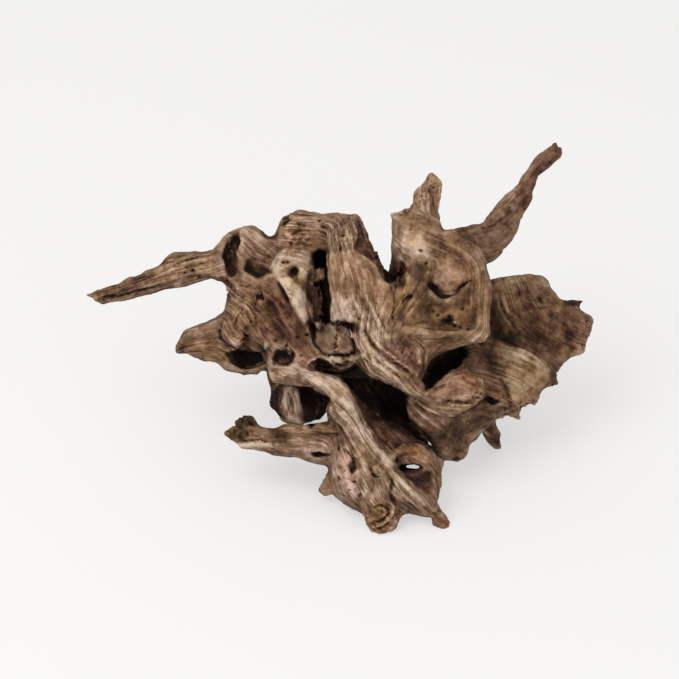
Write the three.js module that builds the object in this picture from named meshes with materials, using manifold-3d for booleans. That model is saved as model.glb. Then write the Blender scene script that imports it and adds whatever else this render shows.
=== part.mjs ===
// A gnarled root stump of driftwood, grown and weathered as one piece of wood.
// It is drawn on its broad face, the one that shows a hollowed crown above two splayed roots: u runs to the
// right across the face, v runs up the face and w stands out of it. Every form is placed as it looks from VIEW
// in front of that face. The face leans back, so that the stump stands on the tips of its roots, and the
// part's own frame is in millimetres with +Z up.
import * as THREE from 'three';
import { ImprovedNoise } from 'three/addons/math/ImprovedNoise.js';
import { mergeVertices } from 'three/addons/utils/BufferGeometryUtils.js';
import { edgeTable, triTable } from 'three/addons/objects/MarchingCubes.js';
import Module from 'manifold-3d';

// Driving dimensions, in millimetres and degrees.
const LEAN = THREE.MathUtils.degToRad(35); // the broad face looks up from the level by this much
const VIEW = 2515; // forms behind the face are that much larger than they look from here
const FLOOR_BELOW = 88; // from the face's origin straight down to the surface that the root tips stand on
const REACH = { u: [-174, 172], v: [-136, 136], w: [-132, 66] }; // the room that the stump fills on its face
const CELL = 2.6; // the size of a sampling cell
const FACES = 11600; // what the surface is thinned to
const FAR = 30; // how far from a form it is still measured
const FURROW = { pitch: 8.5, run: 34, depth: 1.5 }; // the grooves that weather cuts along the grain

const perlin = new ImprovedNoise();
const ramp = (from, to, x) => THREE.MathUtils.smoothstep((x - from) / (to - from), 0, 1);
const clamp = THREE.MathUtils.clamp;

// Distance from a point to a closed outline on the face, negative inside it.
function outlineDistance(points, u, v) {
  let nearest = Infinity;
  let inside = false;
  for (let i = 0, j = points.length - 1; i < points.length; j = i++) {
    const [au, av] = points[i];
    const [bu, bv] = points[j];
    const eu = bu - au;
    const ev = bv - av;
    const t = clamp(((u - au) * eu + (v - av) * ev) / (eu * eu + ev * ev), 0, 1);
    nearest = Math.min(nearest, Math.hypot(u - au - eu * t, v - av - ev * t));
    if (av > v !== bv > v && u < (eu * (v - av)) / ev + au) inside = !inside;
  }
  return inside ? -nearest : nearest;
}

const value = (f, u, v) => (typeof f === 'function' ? f(u, v) : f);

// The distance to a form with its weathered surface: sharp valleys between rounded ridges that run along the
// grain. The last three arguments are a place in the form's own grain, in millimetres.
function furrowed(distance, rough, along, across, deep) {
  if (Math.abs(distance) > 8) return distance;
  const { pitch, run, depth } = FURROW;
  const n = perlin.noise(across / pitch + along / run, deep / pitch, along / run);
  return distance + rough * depth * (0.5 - 2.2 * Math.abs(n));
}

// A lobe is a slab of wood with a rounded rim. Its outline lies on the face, mid is the depth of its middle
// sheet there, front and back are how thick it is on each side of that sheet, and its grain runs at an angle.
function lobe({ outline, mid, front, back = front, rim, blend = 3, ragged = 0, grain = 0, rough = 1 }) {
  const box = new THREE.Box2().setFromPoints(outline.map(([u, v]) => new THREE.Vector2(u, v)));
  box.expandByScalar(FAR);
  const column = (u, v) => {
    if (u < box.min.x || u > box.max.x || v < box.min.y || v > box.max.y) return null;
    const tooth = ragged * perlin.noise(u / 4.5, v / 4.5, 0.5);
    const edge = outlineDistance(outline, u, v) + tooth;
    if (edge > FAR) return null;
    const p = Math.max(0, (edge + rim) / rim);
    const sheet = value(mid, u, v);
    const thick = [value(back, u, v), value(front, u, v)];
    const turn = THREE.MathUtils.degToRad(value(grain, u, v));
    const along = u * Math.cos(turn) + v * Math.sin(turn);
    const across = v * Math.cos(turn) - u * Math.sin(turn);
    return (w) => {
      const half = thick[w > sheet ? 1 : 0];
      const r = Math.abs(w - sheet) / half;
      const k = Math.hypot(p, r);
      const d = k < 1e-6 ? -Math.min(half, rim) : (k * (k - 1)) / Math.hypot(p / rim, r / half);
      return furrowed(d, rough, along, across, w);
    };
  };
  return { column, blend };
}

// A limb is a chain of round, tapering stretches through stations [u, v, w, radius], with its grain along
// them. Flat makes it that many times as deep along w as it is wide, which a narrow slot needs.
function limb(stations, { blend = 3, flat = 1, rough = 0.8 } = {}) {
  const box = new THREE.Box2();
  for (const [u, v, , r] of stations) {
    box.expandByPoint(new THREE.Vector2(u - r, v - r)).expandByPoint(new THREE.Vector2(u + r, v + r));
  }
  box.expandByScalar(FAR);
  const column = (u, v) => {
    if (u < box.min.x || u > box.max.x || v < box.min.y || v > box.max.y) return null;
    return (w) => {
      let nearest = Infinity;
      let place = [0, 0, 0];
      let before = stations[0][0];
      for (let i = 1; i < stations.length; i++) {
        const [au, av, aw, ar] = stations[i - 1];
        const [bu, bv, bw, br] = stations[i];
        const e = [bu - au, bv - av, (bw - aw) / flat];
        const d = [u - au, v - av, (w - aw) / flat];
        const square = e[0] * e[0] + e[1] * e[1] + e[2] * e[2];
        const t = clamp((d[0] * e[0] + d[1] * e[1] + d[2] * e[2]) / square, 0, 1);
        const off = [d[0] - e[0] * t, d[1] - e[1] * t, d[2] - e[2] * t];
        const gap = Math.hypot(...off) - ar - (br - ar) * t;
        if (gap < nearest) {
          nearest = gap;
          place = [before + Math.sqrt(square) * t, off[0] + off[1], off[2]];
        }
        before += Math.sqrt(square);
      }
      return furrowed(nearest, rough, ...place);
    };
  };
  return { column, blend };
}

// An egg is an ellipsoid, turned by an angle on the face.
function egg([cu, cv, cw], [ru, rv, rw], { turn = 0, blend = 3 } = {}) {
  const c = Math.cos(THREE.MathUtils.degToRad(turn));
  const s = Math.sin(THREE.MathUtils.degToRad(turn));
  const far = Math.max(ru, rv) + FAR;
  const column = (u, v) => {
    if (Math.abs(u - cu) > far || Math.abs(v - cv) > far) return null;
    const a = ((u - cu) * c + (v - cv) * s) / ru;
    const b = ((v - cv) * c - (u - cu) * s) / rv;
    return (w) => {
      const d = (w - cw) / rw;
      const k = Math.hypot(a, b, d);
      return k < 1e-6 ? -Math.min(ru, rv, rw) : (k * (k - 1)) / Math.hypot(a / ru, b / rv, d / rw);
    };
  };
  return { column, blend };
}

// The crown: the tall ridge on the left, the horn, and the hollowed head that leans over to the right.
const crown = [
  lobe({
    outline: [
      [-9, 60], [-5, 74], [-3, 85], [8, 84.5], [12, 84.5], [15, 77], [18, 71], [18.5, 63], [23, 57],
      [27.5, 50],
      [30.5, 45], [34.5, 45], [38.5, 39], [39, 42], [35, 50], [34.5, 58], [33.5, 70], [33, 86],
      [44, 89], [52, 100.5],
      [57, 106], [60, 112], [64, 114], [69, 110], [69.5, 101], [65, 93], [64.5, 84], [67, 76], [75, 72],
      [84, 63], [92, 57], [97, 50], [99, 42], [100.5, 30], [99.5, 15], [100, 3], [97, 0], [88, -2],
      [76, -6],
      [66, -11], [58, -19], [55, -30], [50, -36], [42, -32], [32, -28], [20, -24], [13, -17], [9, -6],
      [7, 5], [6, 10], [-8, 10], [-6, 20], [-8, 35], [-10, 48],
    ],
    mid: (u, v) =>
      22 - 12 * ramp(45, 85, v) * ramp(40, 15, u) - 14 * ramp(70, 110, v) * ramp(30, 50, u)
      - 8 * ramp(0, -14, v) * ramp(40, 70, u),
    front: (u, v) => 22 - 13 * ramp(82, 104, v),
    back: (u, v) => 26 - 16 * ramp(60, 90, v),
    rim: 16,
    ragged: 1,
  }),
  // The ridge that sweeps round the head's right side, and the lip along its bottom.
  limb([
    [38, 83, 26, 4], [50, 81, 34, 5], [62, 77, 40, 6], [75, 68, 41, 6.5], [88, 56, 42, 6.5],
    [94, 44, 43, 6],
    [96, 30, 43, 5.5], [96, 15, 43, 5], [95, 5, 43, 5],
  ]),
  limb([
    [96, 5, 42, 4.5], [82, 3, 44, 5], [66, 4, 46, 5], [50, 7, 47, 4.5], [40, 5, 46, 4],
    [33, 1, 45, 3.5],
  ]),
  // The brow beside the bowl, and the rounded burl that half fills it.
  limb([[44, 78, 34, 6], [50, 66, 40, 7], [56, 54, 42, 7], [58, 45, 42, 5]]),
  egg([75, 46, 34], [16, 14, 13], { turn: 30 }),
  // Strands of grain that run down the ridge and sweep under the head.
  limb([
    [3, 80, 16, 5], [-1, 60, 26, 6], [1, 40, 33, 6], [6, 22, 38, 6], [14, 4, 41, 6], [24, -12, 40, 6],
    [38, -24, 37, 5], [52, -33, 33, 4.5], [64, -43, 30, 4], [75, -48, 26, 3.5],
  ]),
  limb([
    [11, 79, 16, 5], [11, 60, 30, 6], [15, 42, 38, 6], [21, 26, 43, 5.5], [28, 8, 44, 5], [40, -8, 41, 5],
    [49, -22, 36, 5], [53, -33, 32, 4],
  ]),
  limb([[20, 55, 27, 4.5], [24, 42, 38, 5], [29, 26, 44, 5], [35, 10, 46, 4.5]]),
  limb([[58, 82, 20, 5], [57, 95, 14, 5], [61.5, 108, 9, 4]]),
];

// The block at the top left, sawn nearly square by weather, and the knotted block in front of it.
const leftBlocks = [
  lobe({
    outline: [
      [-46, 58], [-48, 64], [-42, 68], [-41, 78], [-37, 83.5], [-30, 86.5], [-22, 86], [-13, 84],
      [-3, 85.5],
      [3, 84], [6, 60], [-12, 56], [-30, 56],
    ],
    mid: -6, front: 18, back: 22, rim: 9,
  }),
  lobe({
    outline: [
      [-48, 40], [-48, 52], [-44, 60], [-36, 65], [-24, 63], [-17, 54], [-15, 46], [-11, 43], [-12, 34],
      [-18, 22], [-22, 12], [-28, 14], [-36, 28], [-44, 36],
    ],
    mid: 4, front: 19, back: 20, rim: 12,
  }),
  limb([[-45, 41, 18, 3], [-37, 37, 22, 4], [-31, 27, 22, 3.5], [-26, 18, 20, 3], [-22, 11, 17, 2.5]]),
  limb([[-20, 58, 8, 5], [-19, 50, 15, 4], [-14, 44, 17, 4], [-12, 36, 13, 4], [-17, 26, 9, 4]]),
];

// The long root that reaches out to the left, split at its tip, and the arched knuckle it springs from.
const leftArm = [
  lobe({
    outline: [
      [-169, 29.5], [-168, 31.5], [-163, 34], [-150, 38], [-140, 41], [-124, 47], [-119, 55], [-111, 59],
      [-88, 60], [-80, 65], [-71, 74], [-61, 77], [-54, 74.5], [-46, 69.5], [-38, 66], [-40, 35], [-70, 30],
      [-76, 39], [-83, 41], [-95, 39.5], [-111, 36], [-130, 30], [-150, 24.5], [-158, 26], [-152, 29.5],
      [-161, 29], [-167, 26.5],
    ],
    mid: (u) => -2 - 14 * ramp(-70, -165, u),
    front: (u) => 11 - 4 * ramp(-110, -165, u),
    rim: 10, ragged: 1.2,
  }),
  limb([[-70, 71, 4, 5], [-61, 71, 6, 5.5], [-52, 68, 6, 5], [-45, 62, 6, 5]]),
  limb([
    [-66, 72, 6, 3], [-65, 62, 9, 3.5], [-66, 52, 9, 3.5], [-64, 44, 8, 3.5], [-56, 41, 9, 4],
  ], { blend: 2.5 }),
  limb([[-150, 33, -12, 3], [-125, 42, -8, 5], [-100, 52, -4, 6], [-84, 54, 0, 5.5], [-76, 62, 2, 5]]),
  limb([[-140, 31, -13, 4.5], [-150, 28.5, -14, 3.4], [-159, 26.5, -15, 2.4]], { rough: 0 }),
  limb([[-150, 34, -14, 3.6], [-160, 31.8, -15, 2.8], [-168.5, 29.6, -16, 2.4]], { rough: 0 }),
  limb([[-140, 30, -12, 2.5], [-110, 41, -8, 4], [-90, 45, -4, 5], [-80, 47, 0, 4]]),
];

// The cracked plates on the left side, and the hollow fin below them.
const leftPlates = [
  lobe({
    outline: [
      [-75, 39], [-73.5, 34], [-71, 30], [-74, 26], [-73.5, 19], [-79, 10], [-78, 1], [-70, -6], [-66, -2],
      [-62, 2], [-52, 0], [-49, -8], [-48.5, -20], [-44, -29], [-28, -29], [-18, -16], [-12, -8], [-16, 2],
      [-20, 12], [-24, 20], [-22, 35], [-30, 45], [-50, 45],
    ],
    mid: (u, v) => 2 + 6 * ramp(-75, -45, u), front: 12, back: 20, rim: 9, ragged: 1.5,
  }),
  lobe({
    outline: [
      [-111.5, -9.5], [-109, 0], [-104, 9], [-90, 11.5], [-82, 15], [-74, 21], [-60, 18], [-48, 2],
      [-46, -16],
      [-55, -21], [-68, -22.5], [-78, -19], [-80, -15.5], [-88, -14.5], [-98, -12.5], [-100, -10.5],
    ],
    mid: (u) => -11 - 4 * ramp(-60, -105, u), front: 9, back: 10, rim: 9, ragged: 1,
  }),
  limb([[-104, 3, -10, 3], [-90, 7.5, -6, 3], [-78, 12.5, -1, 3.5], [-68, 19, 3, 4]]),
  limb([
    [-60, 36, 10, 4], [-57, 28, 13, 4], [-62, 18, 13, 4], [-72, 10, 9, 4], [-76, 3, 7, 3],
    [-70, -3, 6, 2.5],
  ]),
  limb([[-48, 34, 14, 4], [-52, 18, 15, 4], [-50, 4, 15, 4], [-42, -4, 17, 4], [-36, -18, 16, 4]]),
  limb([[-38, 24, 15, 5], [-34, 8, 18, 6], [-28, -4, 18, 5], [-24, -14, 17, 4]]),
  limb([[-78, -17, -6, 3], [-66, -20, -2, 2.5], [-54, -19, 2, 2.5], [-48, -12, 6, 3]], { blend: 2.5 }),
];

// Splinters and a torn shelf in the middle, where the crown and the left side part.
const torn = [
  lobe({
    outline: [[-12, -3], [-9, 8], [8, 9.5], [12, -2], [8, -10], [-5, -10]],
    mid: -2, front: 8, back: 12, rim: 4, ragged: 1,
  }),
  limb([
    [-23, -19, 12, 2.5], [-20, -13, 13, 2.5], [-12, -11, 14, 2.5], [-5, -14.5, 15, 2.4],
    [4, -13, 17, 2.4], [12, -11, 20, 2.5],
  ], { blend: 2 }),
  limb([[-12, -11, 13, 2], [-8, -18, 10, 2], [-2, -20, 8, 2]], { blend: 2 }),
];

// The front root: it leaves the left plates, sweeps down to the right and ends in two worn toes.
const frontRoot = [
  lobe({
    outline: [
      [-47, -18], [-48, -26], [-43, -31], [-28, -29], [-12, -37], [-4, -47], [-3, -58], [-6, -70],
      [-7, -82],
      [-8, -90], [-3, -104], [1, -109.5], [8, -113], [15, -113], [14.5, -118.5], [19, -122.5],
      [19, -126.5], [22.5, -130],
      [32, -128], [38, -122], [40, -118], [46, -114], [52, -116.5], [60, -118], [63, -112], [67, -104],
      [67, -99], [69.5, -95], [68, -86], [65, -79], [61, -74], [50, -67], [40, -62], [25, -53], [12, -42],
      [4, -32], [-4, -25], [-14, -20], [-22, -14], [-30, -10], [-44, -10],
    ],
    mid: (u, v) => 6 + 10 * ramp(-30, -80, v) - 2 * ramp(-100, -128, v),
    front: (u, v) => 12 + 6 * ramp(-40, -90, v) - 5 * ramp(-108, -126, v),
    back: (u, v) => 14 + 10 * ramp(-30, -80, v) - 8 * ramp(-100, -126, v),
    rim: 13, ragged: 1.6,
  }),
  limb([
    [-42, -14, 14, 4], [-30, -16, 16, 5], [-16, -23, 18, 6], [-3, -31, 20, 7], [4, -44, 23, 6],
    [9, -56, 26, 5],
    [16, -68, 31, 4.5], [24, -76, 34, 4], [33, -82, 35, 4], [36, -90, 34, 4],
  ]),
  limb([
    [2, -40, 20, 4], [5, -54, 23, 4], [10, -68, 29, 3.5], [15, -80, 32, 3.5], [17, -95, 31, 3.5],
    [22, -108, 28, 4],
  ]),
  limb([[33, -80, 35, 3], [44, -71, 33, 4], [54, -73, 28, 4], [61, -82, 25, 4], [63, -94, 24, 4]]),
  limb([[34, -88, 34, 4], [28, -98, 34, 4], [27, -110, 31, 4], [33, -118, 28, 5]]),
  limb([
    [34, -88, 34, 4], [44, -98, 33, 5], [54, -107, 29, 6], [63, -113, 25, 5], [66.5, -118, 22, 4.4],
    [69, -122.5, 20, 4.9],
  ]),
  limb([[20, -112, 26, 8], [27, -122, 26, 6.5], [26, -126, 25.5, 5]]),
  limb([[38, -116, 26, 5], [31, -123, 26, 5], [24, -127, 25, 4.5]], { blend: 2.5 }),
  limb([[2, -92, 12, 9], [-6, -97, 8, 5], [-11, -100, 6, 2.8]]),
  egg([23, -85, 34], [5.5, 5, 4.5], { blend: 2 }),
];

// The short root that points left from it, with a broken and frayed end.
const twigArm = [
  lobe({
    outline: [
      [8, -56], [-7, -54], [-22, -57], [-44, -57.3], [-56, -58], [-59, -54], [-62.5, -50.5], [-65, -52.5],
      [-71, -53], [-71, -58.5], [-76, -59.5], [-77.5, -62], [-74, -65.5], [-70, -67], [-69.5, -71.5],
      [-62, -74],
      [-50, -74], [-45, -77], [-35, -77], [-27, -79.5], [-10, -82.5], [5, -80],
    ],
    mid: (u) => 10 - 6 * ramp(-20, -75, u), front: 8, back: 10, rim: 8, ragged: 1.2,
  }),
  limb([
    [-75, -62, 8, 3], [-62, -64, 11, 4], [-50, -63, 13, 4], [-38, -66, 14, 4], [-20, -66, 15, 4],
    [-4, -68, 17, 4],
  ]),
  limb([[-68, -70, 9, 2], [-52, -71, 11, 2.5], [-44, -72, 12, 2.5]], { blend: 2 }),
  limb([[-58, -57, 6, 3], [-62, -52.5, 4, 2]], { blend: 2 }),
];

// The two fans on the right, one behind and above the other.
const fans = [
  lobe({
    outline: [
      [92, 42], [100, 42], [103.5, 41], [105, 39], [110, 40.5], [118, 43], [124, 43.5], [133, 43],
      [138, 38],
      [142, 31], [147, 27], [154, 25], [158, 20.5], [162, 20], [166, 16.5], [168, 12.5], [167.5, 6],
      [164, 3],
      [165, -1], [162, -8], [157, -9], [151, -14], [147, -18], [144, -24], [130, -24], [108, -14],
      [90, -6], [80, 20],
    ],
    mid: (u, v) => -24 - 8 * ramp(115, 165, u) + 8 * ramp(100, 85, u),
    front: (u, v) => 9, back: (u) => 10 + 12 * ramp(130, 95, u), rim: 9, ragged: 2,
  }),
  limb([
    [90, 30, -16, 7], [106, 36.5, -18, 4.5], [120, 40, -19, 5], [132, 39, -20, 5], [139, 32, -22, 4.5],
    [147, 24, -24, 4],
  ]),
  limb([[147, 22, -24, 3.5], [158, 15, -24, 4.5], [163, 9, -24, 4], [158, 0, -24, 3.5]]),
  limb([[104, 30, -16, 4], [112, 14, -16, 4], [124, 4, -18, 4]]),
  limb([
    [140, 21, -28, 4], [150, 25.5, -32, 3.2], [157, 25.5, -33, 2.8], [162, 26.5, -33, 2.6],
  ], { blend: 2, rough: 0 }),
  limb([[151, 26.5, -32, 2.6], [153.5, 30, -32, 1.8]], { blend: 1.5, rough: 0 }),
  lobe({
    outline: [
      [50, -28], [57, -18], [66, -6], [84, 0], [100, 1], [112, -3], [124, -8], [136, -13.5], [143, -20],
      [144.5, -24], [144, -29], [137, -32], [132.5, -37], [132.5, -41], [127, -42.5], [120.5, -45],
      [120, -50],
      [116, -53], [110, -50.5], [104, -52], [98, -57.5], [91.5, -64.5], [87, -70], [86, -75], [82.5, -81],
      [78, -81.5], [75, -79], [70, -77.5], [66, -76], [60, -68], [52, -58], [50, -52], [46, -47],
      [44.5, -42],
      [47, -36],
    ],
    mid: (u, v) => 16 - 24 * ramp(52, 96, u) - 12 * ramp(-48, -78, v) - 6 * ramp(110, 140, u),
    front: (u, v) => 12 - 3 * ramp(80, 120, u),
    back: (u, v) => 18 - 8 * ramp(80, 120, u),
    rim: 9, ragged: 1.6,
  }),
  limb([
    [92, -2, -6, 4], [108, -4.5, -1, 3.5], [122, -9, 1, 3.5], [134, -15, 1, 3.5], [137, -22, 0, 3.5],
    [133, -29, -2, 3.5],
  ]),
  limb([[104, -22, -1, 4], [120, -26, 1, 4], [131, -28, 0, 3]]),
  limb([[118, -42, -4, 3], [112, -47, -6, 4], [117, -50, -8, 3]], { blend: 2.5 }),
  limb([
    [47, -42, 22, 4], [50, -50, 20, 5], [58, -58, 17, 5], [68, -58, 14, 4], [80, -51, 12, 4],
    [94, -44, 8, 3.5], [104, -46, 2, 4],
  ]),
  // The blunt burl that pokes out from under the head.
  limb([[60, -42, 20, 9], [72, -37, 22, 11.5], [83, -33, 23, 12], [87, -32, 22, 11]]),
  limb([[74, -48, 26, 3], [84, -44, 28, 3], [92, -40, 27, 3], [94, -33, 24, 3.5]], { blend: 2.5 }),
];

// The root that rises behind the head to the right, with a torn tip.
const backBranch = [
  lobe({
    outline: [
      [68, 70], [82, 75.5], [95, 77], [98, 80], [101, 86], [106, 92.5], [114, 99.5], [120.5, 104.5],
      [125, 113],
      [131, 123], [140, 130], [143, 131], [147, 128.5], [149, 123.5], [147, 121], [144, 120],
      [139.5, 114.5],
      [132.5, 105.5], [127, 97], [124.5, 86], [121.5, 78], [120.5, 72], [115, 66], [106.5, 55],
      [98, 50], [84, 46], [66, 54],
    ],
    mid: (u) => -12 - 14 * ramp(80, 145, u), front: (u) => 10 - 4 * ramp(105, 135, u), rim: 9, ragged: 0.7,
  }),
  limb([[141, 127, -25, 3], [143.5, 131, -24, 1.6]], { blend: 1.5 }),
  limb([[142, 125, -25, 3.5], [148, 127, -24, 1.8]], { blend: 1.5 }),
  limb([[142, 125, -27, 3.5], [147.5, 122, -28, 1.8]], { blend: 1.5 }),
];

// Behind the face: the heart of the stump, and the roots that it stands on.
const heart = [
  egg([32, 8, -24], [64, 33, 30], { turn: 4, blend: 8 }),
  egg([-38, 20, -18], [40, 34, 20], { turn: 10, blend: 8 }),
  egg([72, -18, -34], [36, 26, 20], { turn: -30, blend: 8 }),
  egg([-62, -8, -25], [15, 11, 8], { blend: 6 }),
  egg([-14, 50, -18], [12, 16, 12], { blend: 6 }),
  egg([-12, -22, -22], [12, 12, 12], { blend: 6 }),
  limb([[-34, 62, -16, 12], [-14, 54, -26, 11], [6, 58, -18, 12]], { blend: 6 }),
  // The web in the dark below the crown.
  lobe({
    outline: [
      [-22, -4], [10, -2], [60, -10], [78, -30], [76, -64], [64, -72], [46, -68], [24, -56], [-2, -38],
    ],
    mid: (u, v) => -62 - 8 * ramp(-20, -60, v), front: 9, back: 12, rim: 8, blend: 8, grain: -50, rough: 1.4,
  }),
  limb([[34, -54, -54, 8], [48, -66, -34, 8], [60, -80, -10, 8], [60, -92, 4, 8]], { blend: 6 }),
  limb([[58, -10, -44, 12], [70, -40, -40, 11], [76, -66, -26, 9], [80, -76, -16, 6]], { blend: 6 }),
  // The twisted root behind, and the two that fork from it, all down to the floor.
  limb([
    [14, 26, -34, 27], [24, 16, -54, 24], [20, 4, -74, 20], [30, -8, -88, 17], [27, -18, -100, 15],
    [34, -25, -110, 14], [38, -30, -118, 12],
  ], { blend: 8, rough: 2.4 }),
  limb([
    [52, 18, -38, 22], [42, 6, -62, 18], [50, -4, -76, 15], [61, -8, -88, 12.5], [68, -18, -98, 11],
    [76, -23, -106, 8],
    [84, -26, -111, 6],
  ], { blend: 8, rough: 2.2 }),
  limb([
    [-12, 18, -36, 22], [-2, 10, -58, 16], [6, -2, -74, 14], [0, -12, -86, 12], [-6, -20, -97, 9.5],
    [-8, -26, -105, 8],
    [-17, -29, -109, 6],
  ], { blend: 8, rough: 2.2 }),
  // Webs of wood that still join the roots where they part.
  egg([46, -14, -84], [16, 10, 14], { turn: -10, blend: 7 }),
  egg([8, -14, -84], [14, 9, 13], { turn: 10, blend: 7 }),
  egg([-20, -18, -58], [14, 13, 16], { turn: 30, blend: 8 }),
  egg([62, -20, -66], [16, 13, 18], { turn: -20, blend: 8 }),
  // The root under the fans, and the crooked one on the left.
  limb([
    [78, -14, -42, 18], [90, -34, -42, 13], [96, -52, -39, 8.5], [103, -65.5, -46, 5.2],
    [104.5, -70.5, -50, 4.6],
  ], { blend: 8, rough: 1.4 }),
  limb([
    [-22, -2, -24, 19], [-33, -20, -40, 15], [-26, -36, -54, 13], [-33, -48, -66, 11], [-28, -57, -76, 9],
  ], { blend: 5, rough: 1.5 }),
  limb([
    [-8, -2, -38, 12], [-18, -16, -58, 9], [-24, -34, -68, 8], [-22, -46, -78, 6],
  ], { blend: 4, rough: 1.4 }),
  // Buttresses, a worn plate and broken stubs across the back.
  lobe({
    outline: [
      [-24, 30], [-16, 48], [2, 52], [14, 42], [26, 35], [44, 42], [66, 34], [62, 10], [30, 0],
      [-4, 6],
    ],
    mid: (u, v) => -46 - 8 * ramp(50, 10, v), front: 12, back: 9, rim: 7, grain: 70, rough: 1.6, ragged: 3,
  }),
  limb([
    [-72, 51, -8, 9], [-52, 42, -20, 12], [-30, 34, -36, 13], [-4, 24, -52, 13], [14, 8, -72, 12],
  ], { blend: 7, rough: 2 }),
  limb([[-96, 0, -15, 7], [-70, 2, -26, 10], [-44, 4, -38, 13], [-18, 2, -50, 14]], { blend: 8, rough: 2 }),
  limb([[106, 30, -26, 7], [88, 30, -40, 9], [66, 24, -54, 12], [46, 14, -70, 12]], { blend: 7, rough: 2 }),
  limb([
    [126, -4, -32, 7], [102, -4, -46, 10], [76, 0, -60, 13], [50, -2, -72, 12],
  ], { blend: 7, rough: 2 }),
  limb([[96, 60, -20, 8], [76, 50, -32, 11], [52, 36, -44, 13], [34, 26, -56, 12]], { blend: 7, rough: 2 }),
  limb([
    [-6, 62, -18, 12], [-2, 52, -44, 9], [-9, 46, -58, 7], [-6, 49, -70, 5], [-12, 52, -76, 3],
  ], { rough: 1.4 }),
  limb([[60, 70, 0, 11], [62, 66, -20, 9], [56, 62, -36, 6.5], [60, 66, -46, 4]], { rough: 1.4 }),
  limb([
    [-44, 64, -16, 8], [-30, 73, -26, 8], [-14, 76, -22, 8], [-2, 68, -30, 9], [6, 56, -42, 9],
  ], { rough: 2.2 }),
  limb([[44, 92, 4, 6], [48, 80, -8, 8], [44, 68, -20, 9], [40, 50, -30, 12]], { blend: 6, rough: 2 }),
  limb([[-58, 20, -26, 8], [-60, 14, -42, 6], [-66, 17, -52, 4], [-66, 22, -58, 2.6]], { rough: 1.2 }),
];

// The dark, faceted stump below the left plates.
const shadowStump = [
  lobe({
    outline: [
      [-45, -28], [-46.5, -40], [-48.5, -43.5], [-44, -46], [-41, -52], [-36, -55.5], [-28, -56.5],
      [-20, -56],
      [-12, -52], [-9.5, -43], [-12, -32], [-25, -24],
    ],
    mid: -36, front: (u) => 10, back: 24, rim: 7,
  }),
  limb([[-41, -30, -27, 3], [-42, -40, -26, 3], [-40, -50, -29, 3]], { blend: 2 }),
  limb([[-34, -30, -24, 3.5], [-35, -42, -22, 3], [-38, -51, -26, 2.5]], { blend: 2 }),
  limb([[-24, -30, -22, 4], [-27, -42, -22, 3.5], [-26, -53, -27, 3]], { blend: 2 }),
];

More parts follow.
